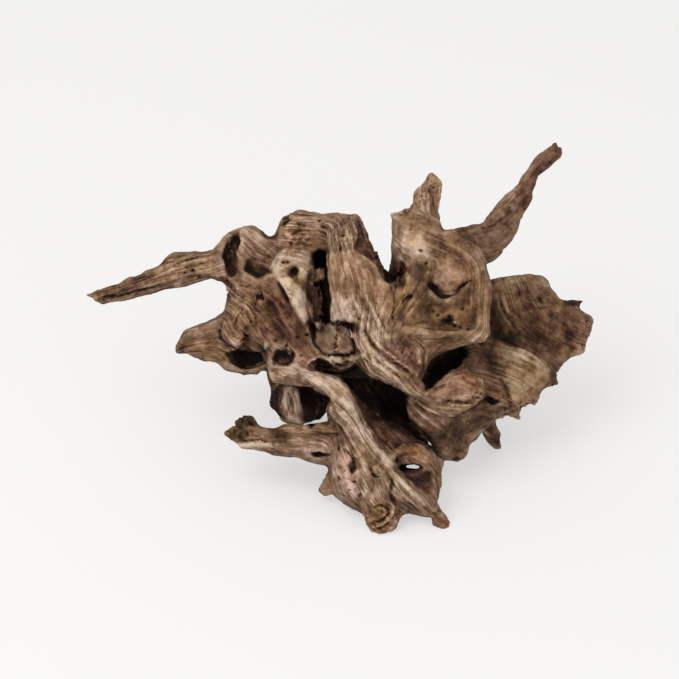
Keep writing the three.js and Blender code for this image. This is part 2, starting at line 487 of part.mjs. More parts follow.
// What is missing from the wood: hollows, slots, knots, cracks, and one hole right through.
const hollows = [
  // The bowl in the head, the crescent under its burl, and the pits beside it.
  egg([66, 22, 59], [30, 14, 21], { turn: 6, blend: 5 }),
  limb([
    [60, 39, 44, 2.4], [63, 33, 40, 3.6], [70, 30.5, 38, 3.8], [78, 33, 38, 2.8], [86, 40, 43, 1.4],
  ], { flat: 3, blend: 1.5 }),
  egg([44, 27, 46], [3.4, 5.5, 10], { turn: -35, blend: 2 }),
  egg([73, 13, 42], [5, 3.4, 9], { turn: -20, blend: 2 }),
  egg([40, 46, 44], [4, 9, 20], { turn: -20, blend: 4 }),
  // The slot between the crown's ridge and the left blocks.
  limb([
    [-12, 58, 10, 4.2], [-12.5, 47, 8, 4.6], [-12, 34, 12, 4.2], [-13, 22, 10, 5], [-13, 12, 6, 5],
  ], { flat: 5, blend: 2 }),
  limb([[-15, 4, 12, 4], [-14, -3, 12, 3.6], [-11, -8, 12, 2.6]], { flat: 4, blend: 1.5 }),
  // The knot, the crack beside the pale strand, and the cracks in the plates.
  egg([-31, 45, 25], [6, 5.4, 10], { blend: 2.5 }),
  limb([[-43, 40, 22, 1.2], [-38, 33, 21, 1.8], [-33, 24, 19, 1.2]], { flat: 5, blend: 1 }),
  limb([[-54, 32, 14, 3], [-56, 26, 14, 2.8], [-56.5, 16, 15, 1.4]], { flat: 3, blend: 1.5 }),
  // The arch behind the knuckle, and the dent beside it.
  limb([[-72, 66, 6, 2.8], [-75, 58, 6, 4.4], [-73, 50, 6, 4.4], [-72, 45, 6, 3]], { flat: 3, blend: 2 }),
  egg([-69, 66, 12], [2.6, 4.6, 8], { blend: 1.5 }),
  egg([-55, 50, 16], [8, 7, 9]),
  // The mouth of the fin.
  limb([
    [-64, 4, 6, 3.4], [-62, -6, 6, 7], [-63, -10, 4, 8.2], [-55, -10, 6, 6.5],
  ], { flat: 2.2, blend: 2 }),
  limb([[-78, 11, 4, 1.2], [-79.5, 3, 4, 1.6], [-74, -3, 2, 1.6]], { flat: 4, blend: 1 }),
  // The eye beside the fin, and the gap under the torn shelf.
  egg([-38, -12, 22], [5.6, 4.6, 9], { turn: 25, blend: 2 }),
  limb([
    [-20, -19, 12, 1.8], [-10, -20, 10, 2.8], [2, -23, 10, 3.6], [12, -24, 14, 4],
  ], { flat: 3, blend: 1.5 }),
  // The cave between the head and the burl.
  limb([[58, -27, 26, 4.6], [64, -19, 22, 7.4], [73, -12, 16, 7], [80, -8, 10, 5]], { flat: 3.2 }),
  limb([
    [101, -21, 2, 1.6], [107, -28, 4, 2.2], [113, -39, 4, 2], [116, -46, 3, 1.4],
  ], { flat: 2, blend: 2 }),
  egg([100, -39.5, 4], [4, 3, 7], { blend: 2 }),
  egg([90, -34, 34], [5, 4, 5]),
  // The valley under the head that parts the two fans, and the notch under the torn tip.
  egg([128, -4, -8], [17, 4, 8], { turn: -20 }),
  // The pit in the front root, and the slit through its floor.
  egg([47, -85, 40], [12, 9.5, 16], { turn: -14 }),
  limb([[43.5, -84, 14, 2.4], [55, -85, 14, 2]], { flat: 24, blend: 1.5 }),
  egg([9, -84, 31], [3.4, 7, 7], { turn: -30, blend: 2 }),
  egg([-14, -76.5, 18], [6, 1.9, 8], { blend: 1.5 }),
  egg([-44, -64, 20], [7, 4.6, 6], { blend: 2 }),
  limb([
    [20, -114, 40, 1.5], [27, -112, 40, 2], [30, -117, 40, 1.6], [24, -121, 36, 1.6],
  ], { flat: 4, blend: 1.5 }),
  // Hollows on the back and underneath.
  egg([6, 40, -66], [16, 10, 14], { turn: 20, blend: 4 }),
  egg([-46, 12, -46], [16, 9, 10], { turn: -20, blend: 4 }),
  egg([-20, 68, -34], [12, 6, 9], { turn: 15, blend: 4 }),
  egg([34, 56, -22], [6, 12, 10], { turn: 10, blend: 4 }),
  egg([70, 20, -72], [14, 8, 14], { turn: 30, blend: 4 }),
  egg([120, 16, -44], [16, 12, 8], { turn: -20, blend: 4 }),
  egg([60, -34, -62], [14, 9, 12], { turn: -40, blend: 4 }),
];

const wood = [
  ...heart, ...leftBlocks, ...leftPlates, ...leftArm, ...torn, ...fans, ...backBranch, ...shadowStump,
  ...twigArm, ...frontRoot, ...crown,
];

// Smooth union and smooth difference of two distances.
function join(a, b, k) {
  const h = Math.max(k - Math.abs(a - b), 0) / k;
  return Math.min(a, b) - (h * h * k) / 4;
}
const carve = (a, b, k) => -join(-a, b, k);

// Broad swellings that no form has, and the lumps of worn knots. Both are bolder behind the face.
function relief(u, v, w) {
  const bold = ramp(-18, -60, w);
  const swelling = perlin.noise(u / 23 + 7, v / 23, w / 23);
  return (1.5 + 2 * bold) * swelling + (0.8 + 1.6 * bold) * perlin.noise(u / 9, v / 9 + 4, w / 9);
}

// The signed distance to the wood, sampled at the corners of a grid of cells on the face.
function sample() {
  const count = ['u', 'v', 'w'].map((a) => Math.ceil((REACH[a][1] - REACH[a][0]) / CELL) + 1);
  const at = (axis, i) => REACH[axis][0] + i * CELL;
  const field = new Float32Array(count[0] * count[1] * count[2]);
  const reachOf = (forms, u, v) =>
    forms.map((f) => ({ depth: f.column(u, v), blend: f.blend })).filter((f) => f.depth);
  for (let j = 0; j < count[1]; j++) {
    for (let i = 0; i < count[0]; i++) {
      const u = at('u', i) + 0.9 * perlin.noise(at('u', i) / 12, at('v', j) / 12, 5);
      const v = at('v', j) + 0.9 * perlin.noise(at('u', i) / 12, at('v', j) / 12, 9);
      const solid = reachOf(wood, u, v);
      const empty = reachOf(hollows, u, v);
      for (let k = 0; k < count[2]; k++) {
        const w = at('w', k);
        let d = FAR;
        for (const form of solid) d = join(d, form.depth(w), form.blend);
        if (Math.abs(d) < FAR / 2) d += relief(u, v, w);
        for (const form of empty) d = carve(d, form.depth(w), form.blend);
        field[i + count[0] * (j + count[1] * k)] = d;
      }
    }
  }
  return { field, count, at };
}

// Marching cubes over the samples. A vertex keeps clear of its edge's ends, so no triangle is a sliver.
function surface({ field, count, at }) {
  const corner = [[0, 0, 0], [1, 0, 0], [1, 1, 0], [0, 1, 0], [0, 0, 1], [1, 0, 1], [1, 1, 1], [0, 1, 1]];
  const edge = [[0, 1], [1, 2], [3, 2], [0, 3], [4, 5], [5, 6], [7, 6], [4, 7], [0, 4], [1, 5], [2, 6], [3, 7]];
  const index = (i, j, k) => i + count[0] * (j + count[1] * k);
  const onEdge = new Map();
  const points = [];
  const faces = [];
  const vertexOn = (i, j, k, e) => {
    const [a, b] = edge[e].map((c) => corner[c].map((o, axis) => o + [i, j, k][axis]));
    const key = index(...a) * 3 + a.findIndex((x, axis) => x !== b[axis]);
    if (!onEdge.has(key)) {
      const fa = field[index(...a)];
      const fb = field[index(...b)];
      const t = clamp(fa / (fa - fb), 0.06, 0.94);
      const p = ['u', 'v', 'w'].map((axis, n) => at(axis, a[n] + (b[n] - a[n]) * t));
      onEdge.set(key, points.push(p) - 1);
    }
    return onEdge.get(key);
  };
  for (let k = 0; k < count[2] - 1; k++) {
    for (let j = 0; j < count[1] - 1; j++) {
      for (let i = 0; i < count[0] - 1; i++) {
        let cube = 0;
        corner.forEach((o, c) => {
          if (field[index(i + o[0], j + o[1], k + o[2])] < 0) cube |= 1 << c;
        });
        if (!edgeTable[cube]) continue;
        for (let t = cube * 16; triTable[t] !== -1; t += 3) {
          faces.push([0, 1, 2].map((n) => vertexOn(i, j, k, triTable[t + n])));
        }
      }
    }
  }
  return { points, faces };
}

// Thins a closed surface by collapsing the edge that changes it least, over and over, by quadric error.
// A collapse is refused where it would pinch the surface or turn a face over.
function thin({ points, faces }, target) {
  const vec = (i, j) => [0, 1, 2].map((n) => points[j][n] - points[i][n]);
  const cross = (a, b) => [a[1] * b[2] - a[2] * b[1], a[2] * b[0] - a[0] * b[2], a[0] * b[1] - a[1] * b[0]];
  const dot = (a, b) => a[0] * b[0] + a[1] * b[1] + a[2] * b[2];
  const quadric = points.map(() => new Float64Array(10));
  const around = points.map(() => new Set());
  const normalOf = ([a, b, c]) => cross(vec(a, b), vec(a, c));
  faces.forEach((face, f) => {
    const n = normalOf(face);
    const area = Math.hypot(...n);
    const [x, y, z] = n.map((c) => c / area);
    const d = -(x * points[face[0]][0] + y * points[face[0]][1] + z * points[face[0]][2]);
    const q = [x * x, x * y, x * z, x * d, y * y, y * z, y * d, z * z, z * d, d * d];
    for (const i of face) {
      around[i].add(f);
      q.forEach((c, n10) => (quadric[i][n10] += c * area));
    }
  });
  const error = (q, [x, y, z]) =>
    q[0] * x * x + 2 * q[1] * x * y + 2 * q[2] * x * z + 2 * q[3] * x + q[4] * y * y + 2 * q[5] * y * z
    + 2 * q[6] * y + q[7] * z * z + 2 * q[8] * z + q[9];
  // The best place for the merged vertex is where the summed quadric is least.
  const best = (i, j) => {
    const q = quadric[i].map((c, n) => c + quadric[j][n]);
    const middle = points[i].map((c, n) => (c + points[j][n]) / 2);
    const m = new THREE.Matrix3().set(q[0], q[1], q[2], q[1], q[4], q[5], q[2], q[5], q[7]);
    const choices = [points[i], points[j], middle];
    if (Math.abs(m.determinant()) > 1e-3) {
      const least = new THREE.Vector3(-q[3], -q[6], -q[8]).applyMatrix3(m.invert()).toArray();
      const length = Math.hypot(...vec(i, j));
      if (Math.hypot(...least.map((c, n) => c - middle[n])) < length) choices.push(least);
    }
    return choices.map((p) => ({ p, cost: error(q, p), q })).reduce((a, b) => (b.cost < a.cost ? b : a));
  };
  const heap = [];
  const push = (item) => {
    let i = heap.push(item) - 1;
    while (i > 0 && heap[(i - 1) >> 1].cost > item.cost) {
      heap[i] = heap[(i - 1) >> 1];
      i = (i - 1) >> 1;
    }
    heap[i] = item;
  };
  const pop = () => {
    const top = heap[0];
    const last = heap.pop();
    if (!heap.length) return top;
    let i = 0;
    for (let c = 1; c < heap.length; c = 2 * i + 1) {
      if (c + 1 < heap.length && heap[c + 1].cost < heap[c].cost) c++;
      if (heap[c].cost >= last.cost) break;
      heap[i] = heap[c];
      i = c;
    }
    heap[i] = last;
    return top;
  };
  const stamp = new Uint32Array(points.length);
  const offer = (i, j) => {
    const { p, cost } = best(i, j);
    push({ i, j, p, cost: cost + 1e-4 * Math.hypot(...vec(i, j)) ** 2, was: [stamp[i], stamp[j]] });
  };
  const neighbours = (i) => new Set([...around[i]].flatMap((f) => faces[f]).filter((n) => n !== i));
  points.forEach((_, i) => neighbours(i).forEach((j) => i < j && offer(i, j)));
  let left = faces.length;
  while (left > target && heap.length) {
    const { i, j, p, was } = pop();
    if (stamp[i] !== was[0] || stamp[j] !== was[1]) continue;
    const ring = neighbours(i);
    const shared = [...neighbours(j)].filter((n) => ring.has(n));
    const dying = [...around[i]].filter((f) => around[j].has(f));
    if (shared.length !== 2 || dying.length !== 2) continue;
    const turned = [i, j].some((end) =>
      [...around[end]].some((f) => {
        if (dying.includes(f)) return false;
        const before = normalOf(faces[f]);
        const [a, b, c] = faces[f].map((n) => (n === end ? p : points[n]));
        const after = cross(b.map((x, n) => x - a[n]), c.map((x, n) => x - a[n]));
        const sides = [[a, b], [b, c], [c, a]].map(([s, e]) => Math.hypot(...s.map((x, n) => x - e[n])));
        const size = Math.hypot(...after);
        return dot(before, after) < 0.3 * Math.hypot(...before) * size || size < 0.12 * Math.max(...sides) ** 2;
      }));
    if (turned) continue;
    points[i] = p;
    quadric[i] = quadric[i].map((c, n) => c + quadric[j][n]);
    for (const f of dying) {
      for (const n of faces[f]) around[n].delete(f);
      faces[f] = null;
    }
    for (const f of around[j]) {
      faces[f] = faces[f].map((n) => (n === j ? i : n));
      around[i].add(f);
    }
    around[j] = new Set();
    stamp[i]++;
    stamp[j]++;
    left -= 2;
    neighbours(i).forEach((n) => {
      stamp[n]++;
    });
    neighbours(i).forEach((n) => {
      neighbours(n).forEach((m) => offer(n, m));
    });
  }
  return { points, faces: faces.filter(Boolean) };
}

// From the look of the face to the part's frame: the face leans back, and the floor comes to z = 0.
function stand([u, v, w]) {
  const size = 1 - w / VIEW;
  const up = v * size;
  return [
    u * size,
    up * Math.sin(LEAN) - w * Math.cos(LEAN),
    up * Math.cos(LEAN) + w * Math.sin(LEAN) + FLOOR_BELOW,
  ];
}

const wasm = await Module();
wasm.setup();

function solidFrom(geometry) {
  const bare = geometry.clone();
  bare.deleteAttribute('normal');
  bare.deleteAttribute('uv');
  const merged = mergeVertices(bare, 1e-3);
  return new wasm.Manifold(new wasm.Mesh({
    numProp: 3,
    vertProperties: merged.attributes.position.array,
    triVerts: new Uint32Array(merged.index.array),
  }));
}

function geometryFrom(solid) {
  const mesh = solid.getMesh();
  return new THREE.BufferGeometry()
    .setAttribute('position', new THREE.BufferAttribute(mesh.vertProperties, 3))
    .setIndex(new THREE.BufferAttribute(mesh.triVerts, 1))
    .toNonIndexed();
}

// The stump's surface as one closed body, cut level where its roots have worn flat on the floor.
function buildStump() {
  const { points, faces } = thin(surface(sample()), FACES);
  const raw = new THREE.BufferGeometry()
    .setAttribute('position', new THREE.Float32BufferAttribute(points.flatMap(stand), 3))
    .setIndex(faces.flatMap(([a, b, c]) => [a, c, b]));
  const pieces = solidFrom(raw).decompose().sort((a, b) => b.volume() - a.volume());
  const floor = new THREE.BoxGeometry(600, 600, 60).translate(0, 0, -30);
  return geometryFrom(pieces[0].subtract(solidFrom(floor)));
}

const geometry = buildStump();
geometry.computeBoundingBox();
const { min, max } = geometry.boundingBox;
geometry.translate(-(min.x + max.x) / 2, -(min.y + max.y) / 2, -min.z);
geometry.computeVertexNormals();

const stump = new THREE.Mesh(
  geometry,
  new THREE.MeshStandardMaterial({ color: 0x8a6a4e, roughness: 0.82, metalness: 0 }),
);
stump.name = 'driftwood';

const driftwood = new THREE.Group();
driftwood.add(stump);
export default driftwood;
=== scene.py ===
import math

import bmesh
import bpy
import numpy as np
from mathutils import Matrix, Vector, noise
from mathutils.bvhtree import BVHTree


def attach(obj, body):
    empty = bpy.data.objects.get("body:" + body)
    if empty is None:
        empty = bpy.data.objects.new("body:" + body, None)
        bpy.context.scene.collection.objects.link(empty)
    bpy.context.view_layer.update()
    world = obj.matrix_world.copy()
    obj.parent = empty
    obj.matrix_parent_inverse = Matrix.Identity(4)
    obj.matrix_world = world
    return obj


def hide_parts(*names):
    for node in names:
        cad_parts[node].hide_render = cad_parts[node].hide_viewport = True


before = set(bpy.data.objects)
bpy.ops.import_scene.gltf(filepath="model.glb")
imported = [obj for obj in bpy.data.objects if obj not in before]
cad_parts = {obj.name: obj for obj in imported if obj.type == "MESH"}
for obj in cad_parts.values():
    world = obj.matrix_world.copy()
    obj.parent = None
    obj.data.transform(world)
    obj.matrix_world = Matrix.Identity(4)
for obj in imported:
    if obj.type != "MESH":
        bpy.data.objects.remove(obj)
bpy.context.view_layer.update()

# The stand is a plain floor that gives part of its own light, so the wood's shadow on it is faint.
# Broad soft light falls from the upper left, with a weaker fill from the right, and the camera
# looks down on the wood's front face from a little above.
MM = 0.001
# The face leans back by LEAN from upright, its middle is at SETTLE, and the camera is VIEW away.
LEAN = math.radians(35)
VIEW = 2515.0
SETTLE = np.array([0.305, -0.081, 88.0])
AIM_OFF = (-0.5, 0.6)
FLOOR_REACH = 6.0
LAMP_WIDTH = 1.4
scene = bpy.context.scene
scene.view_settings.view_transform = "Standard"

floor_mesh = bpy.data.meshes.new("floor")
form = bmesh.new()
bmesh.ops.create_grid(form, x_segments=1, y_segments=1, size=FLOOR_REACH)
form.to_mesh(floor_mesh)
form.free()
floor = bpy.data.objects.new("floor", floor_mesh)
scene.collection.objects.link(floor)
paint = bpy.data.materials.new("pale_floor")
paint.use_nodes = True
plain = paint.node_tree.nodes["Principled BSDF"].inputs
plain["Base Color"].default_value = (0.27, 0.272, 0.275, 1)
plain["Roughness"].default_value = 0.9
plain["Emission Color"].default_value = (1.0, 0.995, 0.99, 1)
plain["Emission Strength"].default_value = 0.53
floor_mesh.materials.append(paint)

world = bpy.data.worlds.new("studio")
world.use_nodes = True
world.node_tree.nodes["Background"].inputs["Color"].default_value = (1.0, 0.98, 0.95, 1)
world.node_tree.nodes["Background"].inputs["Strength"].default_value = 0.93
scene.world = world


def soft_light(name, place, power, colour):
    """One broad lamp that faces the middle of the wood."""
    lamp = bpy.data.lights.new(name, "AREA")
    lamp.shape = "DISK"
    lamp.size = LAMP_WIDTH
    lamp.energy = power
    lamp.color = colour
    holder = bpy.data.objects.new(name, lamp)
    holder.location = place
    middle = Vector((0, 0, 0.08))
    holder.rotation_euler = (middle - Vector(place)).to_track_quat("-Z", "Y").to_euler()
    scene.collection.objects.link(holder)


soft_light("key_light", (-0.75, -0.70, 1.55), 20.0, (1.0, 0.98, 0.94))
soft_light("fill_light", (1.3, -1.2, 0.9), 5.0, (1.0, 0.98, 0.95))

camera = bpy.data.objects.new("camera", bpy.data.cameras.new("camera"))
camera.data.lens = 200
camera.data.sensor_width = 36
camera.data.clip_end = 50
aim = Vector((
    SETTLE[0] + AIM_OFF[0],
    SETTLE[1] + AIM_OFF[1] * math.sin(LEAN),
    SETTLE[2] + AIM_OFF[1] * math.cos(LEAN),
)) * MM
toward_camera = Vector((0, -math.cos(LEAN), math.sin(LEAN)))
camera.location = aim + toward_camera * VIEW * MM
camera.rotation_euler = (-toward_camera).to_track_quat("-Z", "Y").to_euler()
scene.collection.objects.link(camera)
scene.camera = camera

# The wood itself is one grown root crown, bleached and worn by water. Its skin starts as the carved
# solid, closed up into an even mesh that is fine enough to take furrows, cracks and pits.
SKIN_GRID = 1.3
SWELL_BACK = 0.45
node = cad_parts["driftwood"]
wood = bpy.data.objects.new("driftwood_skin", node.data.copy())
wood.data.materials.clear()
scene.collection.objects.link(wood)
form = bmesh.new()
form.from_mesh(wood.data)
bmesh.ops.remove_doubles(form, verts=form.verts, dist=1e-6)
bmesh.ops.smooth_vert(
    form, verts=form.verts, factor=0.3, use_axis_x=True, use_axis_y=True, use_axis_z=True
)
form.to_mesh(wood.data)
form.free()
even = wood.modifiers.new("even_skin", "REMESH")
even.mode = "VOXEL"
even.voxel_size = SKIN_GRID * MM
closed = bpy.data.meshes.new_from_object(wood.evaluated_get(bpy.context.evaluated_depsgraph_get()))
wood.modifiers.clear()
wood.data = closed
closed.name = "driftwood_skin"

count = len(closed.vertices)
links = np.empty(len(closed.edges) * 2, np.int64)
closed.edges.foreach_get("vertices", links)
links = links.reshape(-1, 2)
quads = np.empty(len(closed.loops), np.int64)
closed.loops.foreach_get("vertex_index", quads)
quads = quads.reshape(-1, 4)
share = 1.0 / np.maximum(np.bincount(links.ravel(), minlength=count), 1)


def to_face(points):
    """Row-frame millimetres as the face's own: u right, v up, w towards the camera."""
    x, y, z = (points - SETTLE).T
    up = y * math.sin(LEAN) + z * math.cos(LEAN)
    near = z * math.sin(LEAN) - y * math.cos(LEAN)
    size = 1 - near / VIEW
    return np.stack([x / size, up / size, near], 1)


def from_face(points):
    """The way back from the face's own millimetres to the row frame's."""
    u, v, near = points.T
    size = 1 - near / VIEW
    up = v * size
    y = up * math.sin(LEAN) - near * math.cos(LEAN)
    z = up * math.cos(LEAN) + near * math.sin(LEAN)
    return np.stack([u * size, y, z], 1) + SETTLE


def eased(values, times):
    """Values on the skin, each drawn halfway to the mean of its neighbours, a number of times."""
    a, b = links.T
    for _ in range(times):
        if values.ndim == 1:
            around = np.bincount(a, values[b], count) + np.bincount(b, values[a], count)
            values = 0.5 * values + 0.5 * around * share
        else:
            columns = [
                np.bincount(a, c[b], count) + np.bincount(b, c[a], count) for c in values.T
            ]
            values = 0.5 * values + 0.5 * np.stack(columns, 1) * share[:, None]
    return values


def unit(vectors):
    """Vectors at length one."""
    return vectors / np.maximum(np.linalg.norm(vectors, axis=1, keepdims=True), 1e-9)


def outward(points):
    """The skin's outward direction at each vertex."""
    a, b, c, d = (points[quads[:, k]] for k in range(4))
    facing = np.cross(c - a, d - b)
    total = [
        sum(np.bincount(quads[:, k], facing[:, axis], count) for k in range(4))
        for axis in range(3)
    ]
    return unit(np.stack(total, 1))


skin = np.empty(count * 3, np.float32)
closed.vertices.foreach_get("co", skin)
skin = to_face(skin.reshape(-1, 3).astype(float) / MM)
skin = eased(skin, 2)
skin = skin + outward(skin) * SWELL_BACK
normal = unit(eased(outward(skin), 3))
surface = BVHTree.FromPolygons(skin.tolist(), quads.tolist())
relief = np.zeros(count)
raised_up = np.zeros(count)
PAINTED = ("dark", "pale", "rosy", "mossy", "ochre", "smooth", "strands")
tint = {name: np.zeros(count) for name in (*PAINTED, "frayed")}
ABOVE = 200.0
EDGE_ON = -0.05
OFF_SKIN = 1.5
SEEN_SHARE = 0.35
seen = np.zeros(count, bool)
for k in np.flatnonzero(normal[:, 2] > EDGE_ON):
    start = skin[k] + normal[k] * OFF_SKIN
    seen[k] = surface.ray_cast(start, (0, 0, 1))[0] is None
seen = eased(seen.astype(float), 2) > SEEN_SHARE
SLOW, QUICK = 0.3, 0.8
wander = np.array([
    noise.noise(Vector(p) * SLOW) + 0.6 * noise.noise(Vector(p) * QUICK) for p in skin
])


def laid(places, step):
    """A smooth line through places seen on the wood, laid on its skin, with each point's share."""
    ends = np.array([places[0], *places, places[-1]], float)
    points, shares = [], []
    spans = len(places) - 1
    for k in range(spans):
        a, b, c, d = ends[k:k + 4]
        pieces = max(1, int(np.linalg.norm(c - b) / step))
        for t in np.arange(pieces + (k == spans - 1)) / pieces:
            at = 0.5 * (
                2 * b + (c - a) * t
                + (2 * a - 5 * b + 4 * c - d) * t * t
                + (3 * b - a - 3 * c + d) * t ** 3
            )
            hit = surface.ray_cast((at[0], at[1], ABOVE), (0, 0, -1))[0]
            if hit is not None:
                points.append(hit)
                shares.append((k + t) / spans)
    return np.array(points).reshape(-1, 3), np.array(shares)


MARK_STEP = 1.2
END_WIDTH = 0.35
WAVER = 0.22


def coat(near, weight, tints):
    """Deepens each named tint on the vertices near a mark."""
    for name, amount in tints.items():
        tint[name][near] = np.maximum(tint[name][near], amount * weight)


def mark(places, wide, deep, taper=0.3, sharp=1.6, **tints):
    """A furrow (deep above 0) or a raised strand (below 0) along a line, wide to each side."""
    line, along = laid(places, MARK_STEP)
    if len(line) < 2:
        return
    margin = wide * 1.6
    inside = (skin > line.min(0) - margin) & (skin < line.max(0) + margin)
    near = np.flatnonzero(inside.all(1))
    if not len(near):
        return
    gap = np.linalg.norm(skin[near][:, None] - line[None], axis=2)
    closest = gap.argmin(1)
    gap = np.maximum(gap.min(1) + wander[near] * WAVER * wide, 0)
    ends = np.minimum(along[closest], 1 - along[closest])
    fade = np.sqrt(np.clip(ends / taper, 0, 1))
    reach = np.clip(1 - gap / (wide * (END_WIDTH + (1 - END_WIDTH) * fade)), 0, 1)
    relief[near] -= deep * fade * reach ** sharp
    coat(near, fade * np.clip(reach * 1.25, 0, 1), tints)


RAGGED = 0.4


def spot(place, size, turn=0.0, deep=0.0, **tints):
    """A pit (deep above 0) or a lump (below 0) as the camera sees it, size to each side."""
    limit = max(size) * 1.3
    near = np.flatnonzero(
        (np.abs(skin[:, 0] - place[0]) < limit) & (np.abs(skin[:, 1] - place[1]) < limit) & seen
    )
    cosine, sine = math.cos(math.radians(turn)), math.sin(math.radians(turn))
    right, upward = (skin[near, :2] - place).T
    away = np.hypot(
        (right * cosine + upward * sine) / size[0],
        (upward * cosine - right * sine) / size[1],
    ) + RAGGED * wander[near]
    inside = np.clip(1 - away, 0, 1)
    bowl = inside * inside * (3 - 2 * inside)
    relief[near] -= deep * bowl
    coat(near, bowl, tints)


def within(corners, soft):
    """The vertices the camera sees inside an outline, and how far inside each one is."""
    ring = np.array(corners, float)
    low, high = ring.min(0) - soft * 1.5, ring.max(0) + soft * 1.5
    near = np.flatnonzero(((skin[:, :2] > low) & (skin[:, :2] < high)).all(1) & seen)
    at = skin[near, :2]
    gap = np.full(len(near), 1e9)
    inside = np.zeros(len(near), bool)
    for a, b in zip(ring, np.roll(ring, -1, axis=0)):
        span = b - a
        t = np.clip(((at - a) @ span) / (span @ span), 0, 1)
        gap = np.minimum(gap, np.linalg.norm(at - a - t[:, None] * span, axis=1))
        level = (a[1] > at[:, 1]) != (b[1] > at[:, 1])
        reach = a[0] + (at[:, 1] - a[1]) * span[0] / (span[1] if span[1] else 1e-9)
        inside ^= level & (at[:, 0] < reach)
    gap = np.where(inside, gap, -gap) + wander[near] * min(soft, 3.0) * 0.5
    depth = np.clip(gap / soft * 0.5 + 0.5, 0, 1)
    return near, depth * depth * (3 - 2 * depth)


def patch(corners, soft, deep=0.0, **tints):
    """A stain, a hollow (deep above 0) or a swelling (below 0) inside an outline."""
    near, depth = within(corners, soft)
    relief[near] -= deep * depth
    coat(near, depth, tints)


def stranded(first, last, amount, pale):
    """A band between two lines where the strands of the wood stand clear of each other."""
    patch([*first, *reversed(last)], 3.0, strands=amount, pale=pale)


FACET_EDGE = 1.6
CUT, FILL = -14, 30


def facet(corners, level, tilt, rise, **tints):
    """A flat broken face inside an outline, at the height of one place and tilted both ways."""
    hit = surface.ray_cast((level[0], level[1], ABOVE), (0, 0, -1))[0]
    near, depth = within(corners, FACET_EDGE)
    if hit is None or not len(near):
        return
    gap = skin[near, :2] - level
    plane = hit[2] + rise + gap @ np.array(tilt, float)
    raised_up[near] += depth * np.clip(plane - skin[near, 2], CUT, FILL)
    coat(near, depth, tints)


def pull(place, size, move):
    """Draws a bit of the wood's outline across the view, by a move to the right and up.

    One and a half times the move stays below the size, or the skin would fold.
    """
    away = np.hypot((skin[:, 0] - place[0]) / size[0], (skin[:, 1] - place[1]) / size[1])
    inside = np.clip(1 - away, 0, 1)
    inside = inside * inside * (3 - 2 * inside)
    skin[:, 0] += move[0] * inside
    skin[:, 1] += move[1] * inside


guides = []
GRAIN_STEP = 3.5
# A longer step than LEAP is a jump from one form to another, and the fibres don't follow it.
LEAP = 9


def grain(*places):
    """A line that the fibres follow, from its first place to its last."""
    line, _ = laid(places, GRAIN_STEP)
    if len(line) < 2:
        return
    way = np.gradient(line, axis=0)
    steady = np.linalg.norm(way, axis=1) < LEAP
    for at, run in zip(line[steady], unit(way)[steady]):
        up = surface.find_nearest(at)[1]
        guides.append((*at, *run, *up))


# The head is the tall ear-shaped lobe at the top right. Its right rim rolls over a hollow with a
# pale burl, its fibres swirl round an eye near the top, and a short horn stands on its left.
for place, size, move in (
    ((41, 92), (9, 9), (1.5, -4)), ((42, 89), (9, 8), (0.5, -3)), ((52, 98), (8, 9), (-2.6, -1.8)),
    ((67, 101), (6, 12), (2, 0)), ((60, 111), (6, 6), (-1, 1.2)), ((70, 77), (8, 7), (-1.5, -3)),
    ((44, 95), (6, 6), (1.5, -2.8)), ((44.5, 92), (6, 6), (1, -2.8)), ((70, 76), (6, 6), (-1, -1)),
    ((33, 50), (10, 12), (0.5, -5)), ((32, 47), (10, 12), (2, -5.5)), ((36, 85), (6, 7), (-1.8, -0.5)),
):
    pull(place, size, move)
grain((40, 84), (48, 82), (60, 76), (75, 66), (88, 56), (96, 45), (98, 30), (98, 15), (98, 3))
grain((52, 78), (63, 70), (74, 62), (84, 52), (91, 42), (93, 30), (92, 14))
grain((40, 76), (52, 70), (61, 62), (66, 54), (66, 46), (62, 40), (56, 30), (46, 20))
grain((36, 70), (46, 62), (54, 56), (57, 46), (54, 34), (46, 26))
grain((97, 3), (85, 2), (70, 3), (50, 6), (40, 5), (33, 2))
grain((90, 12), (80, 9), (66, 10), (50, 14), (40, 14))
grain((90, 22), (80, 18), (66, 19), (54, 20), (42, 17))
grain((88, 36), (80, 28), (70, 24), (60, 25), (50, 22))
grain((86, 46), (76, 50), (68, 50), (62, 46))
grain((84, 41), (74, 42), (66, 40))
grain((64, 110), (60, 98), (60, 82))
grain((66, 106), (65, 95), (66, 82))
grain((52, 98), (50, 90), (44, 84))
grain((38, 60), (42, 48), (44, 34), (44, 20))
grain((92, 0), (78, -4), (62, -9), (52, -12))
patch([(34, 84), (50, 80), (62, 74), (66, 62), (58, 55), (48, 52), (40, 52), (36, 62)], 7,
      pale=0.62, smooth=1.0)
patch([(46, 98), (58, 108), (70, 112), (70, 98), (68, 82), (50, 82)], 4, pale=0.5, ochre=0.3)
patch([(62, 44), (66, 52), (74, 56), (84, 52), (88, 43), (82, 37), (74, 31), (67, 31)], 9,
      deep=-2.6, pale=0.45, rosy=0.7, smooth=1.0)
patch([(58, 70), (70, 64), (84, 54), (94, 42), (94, 26), (86, 30), (88, 44), (76, 56), (64, 58)], 6,
      smooth=0.8)
# Olive tint around the burl, the wood's own, darkened with painted shade.
patch([(50, 54), (60, 50), (62, 40), (60, 30), (70, 26), (84, 29), (84, 20), (60, 17), (50, 22)], 4,
      mossy=0.6, dark=0.38, smooth=0.7, deep=0.6)
patch([(50, 22), (84, 22), (92, 12), (80, 6), (55, 8), (44, 10), (40, 18)], 4, mossy=0.2,
      smooth=0.7, ochre=0.6, dark=0.16)
patch([(33, 42), (46, 46), (50, 36), (50, 22), (38, 17), (34, 28)], 3, ochre=0.7, mossy=0.3,
      dark=0.15)
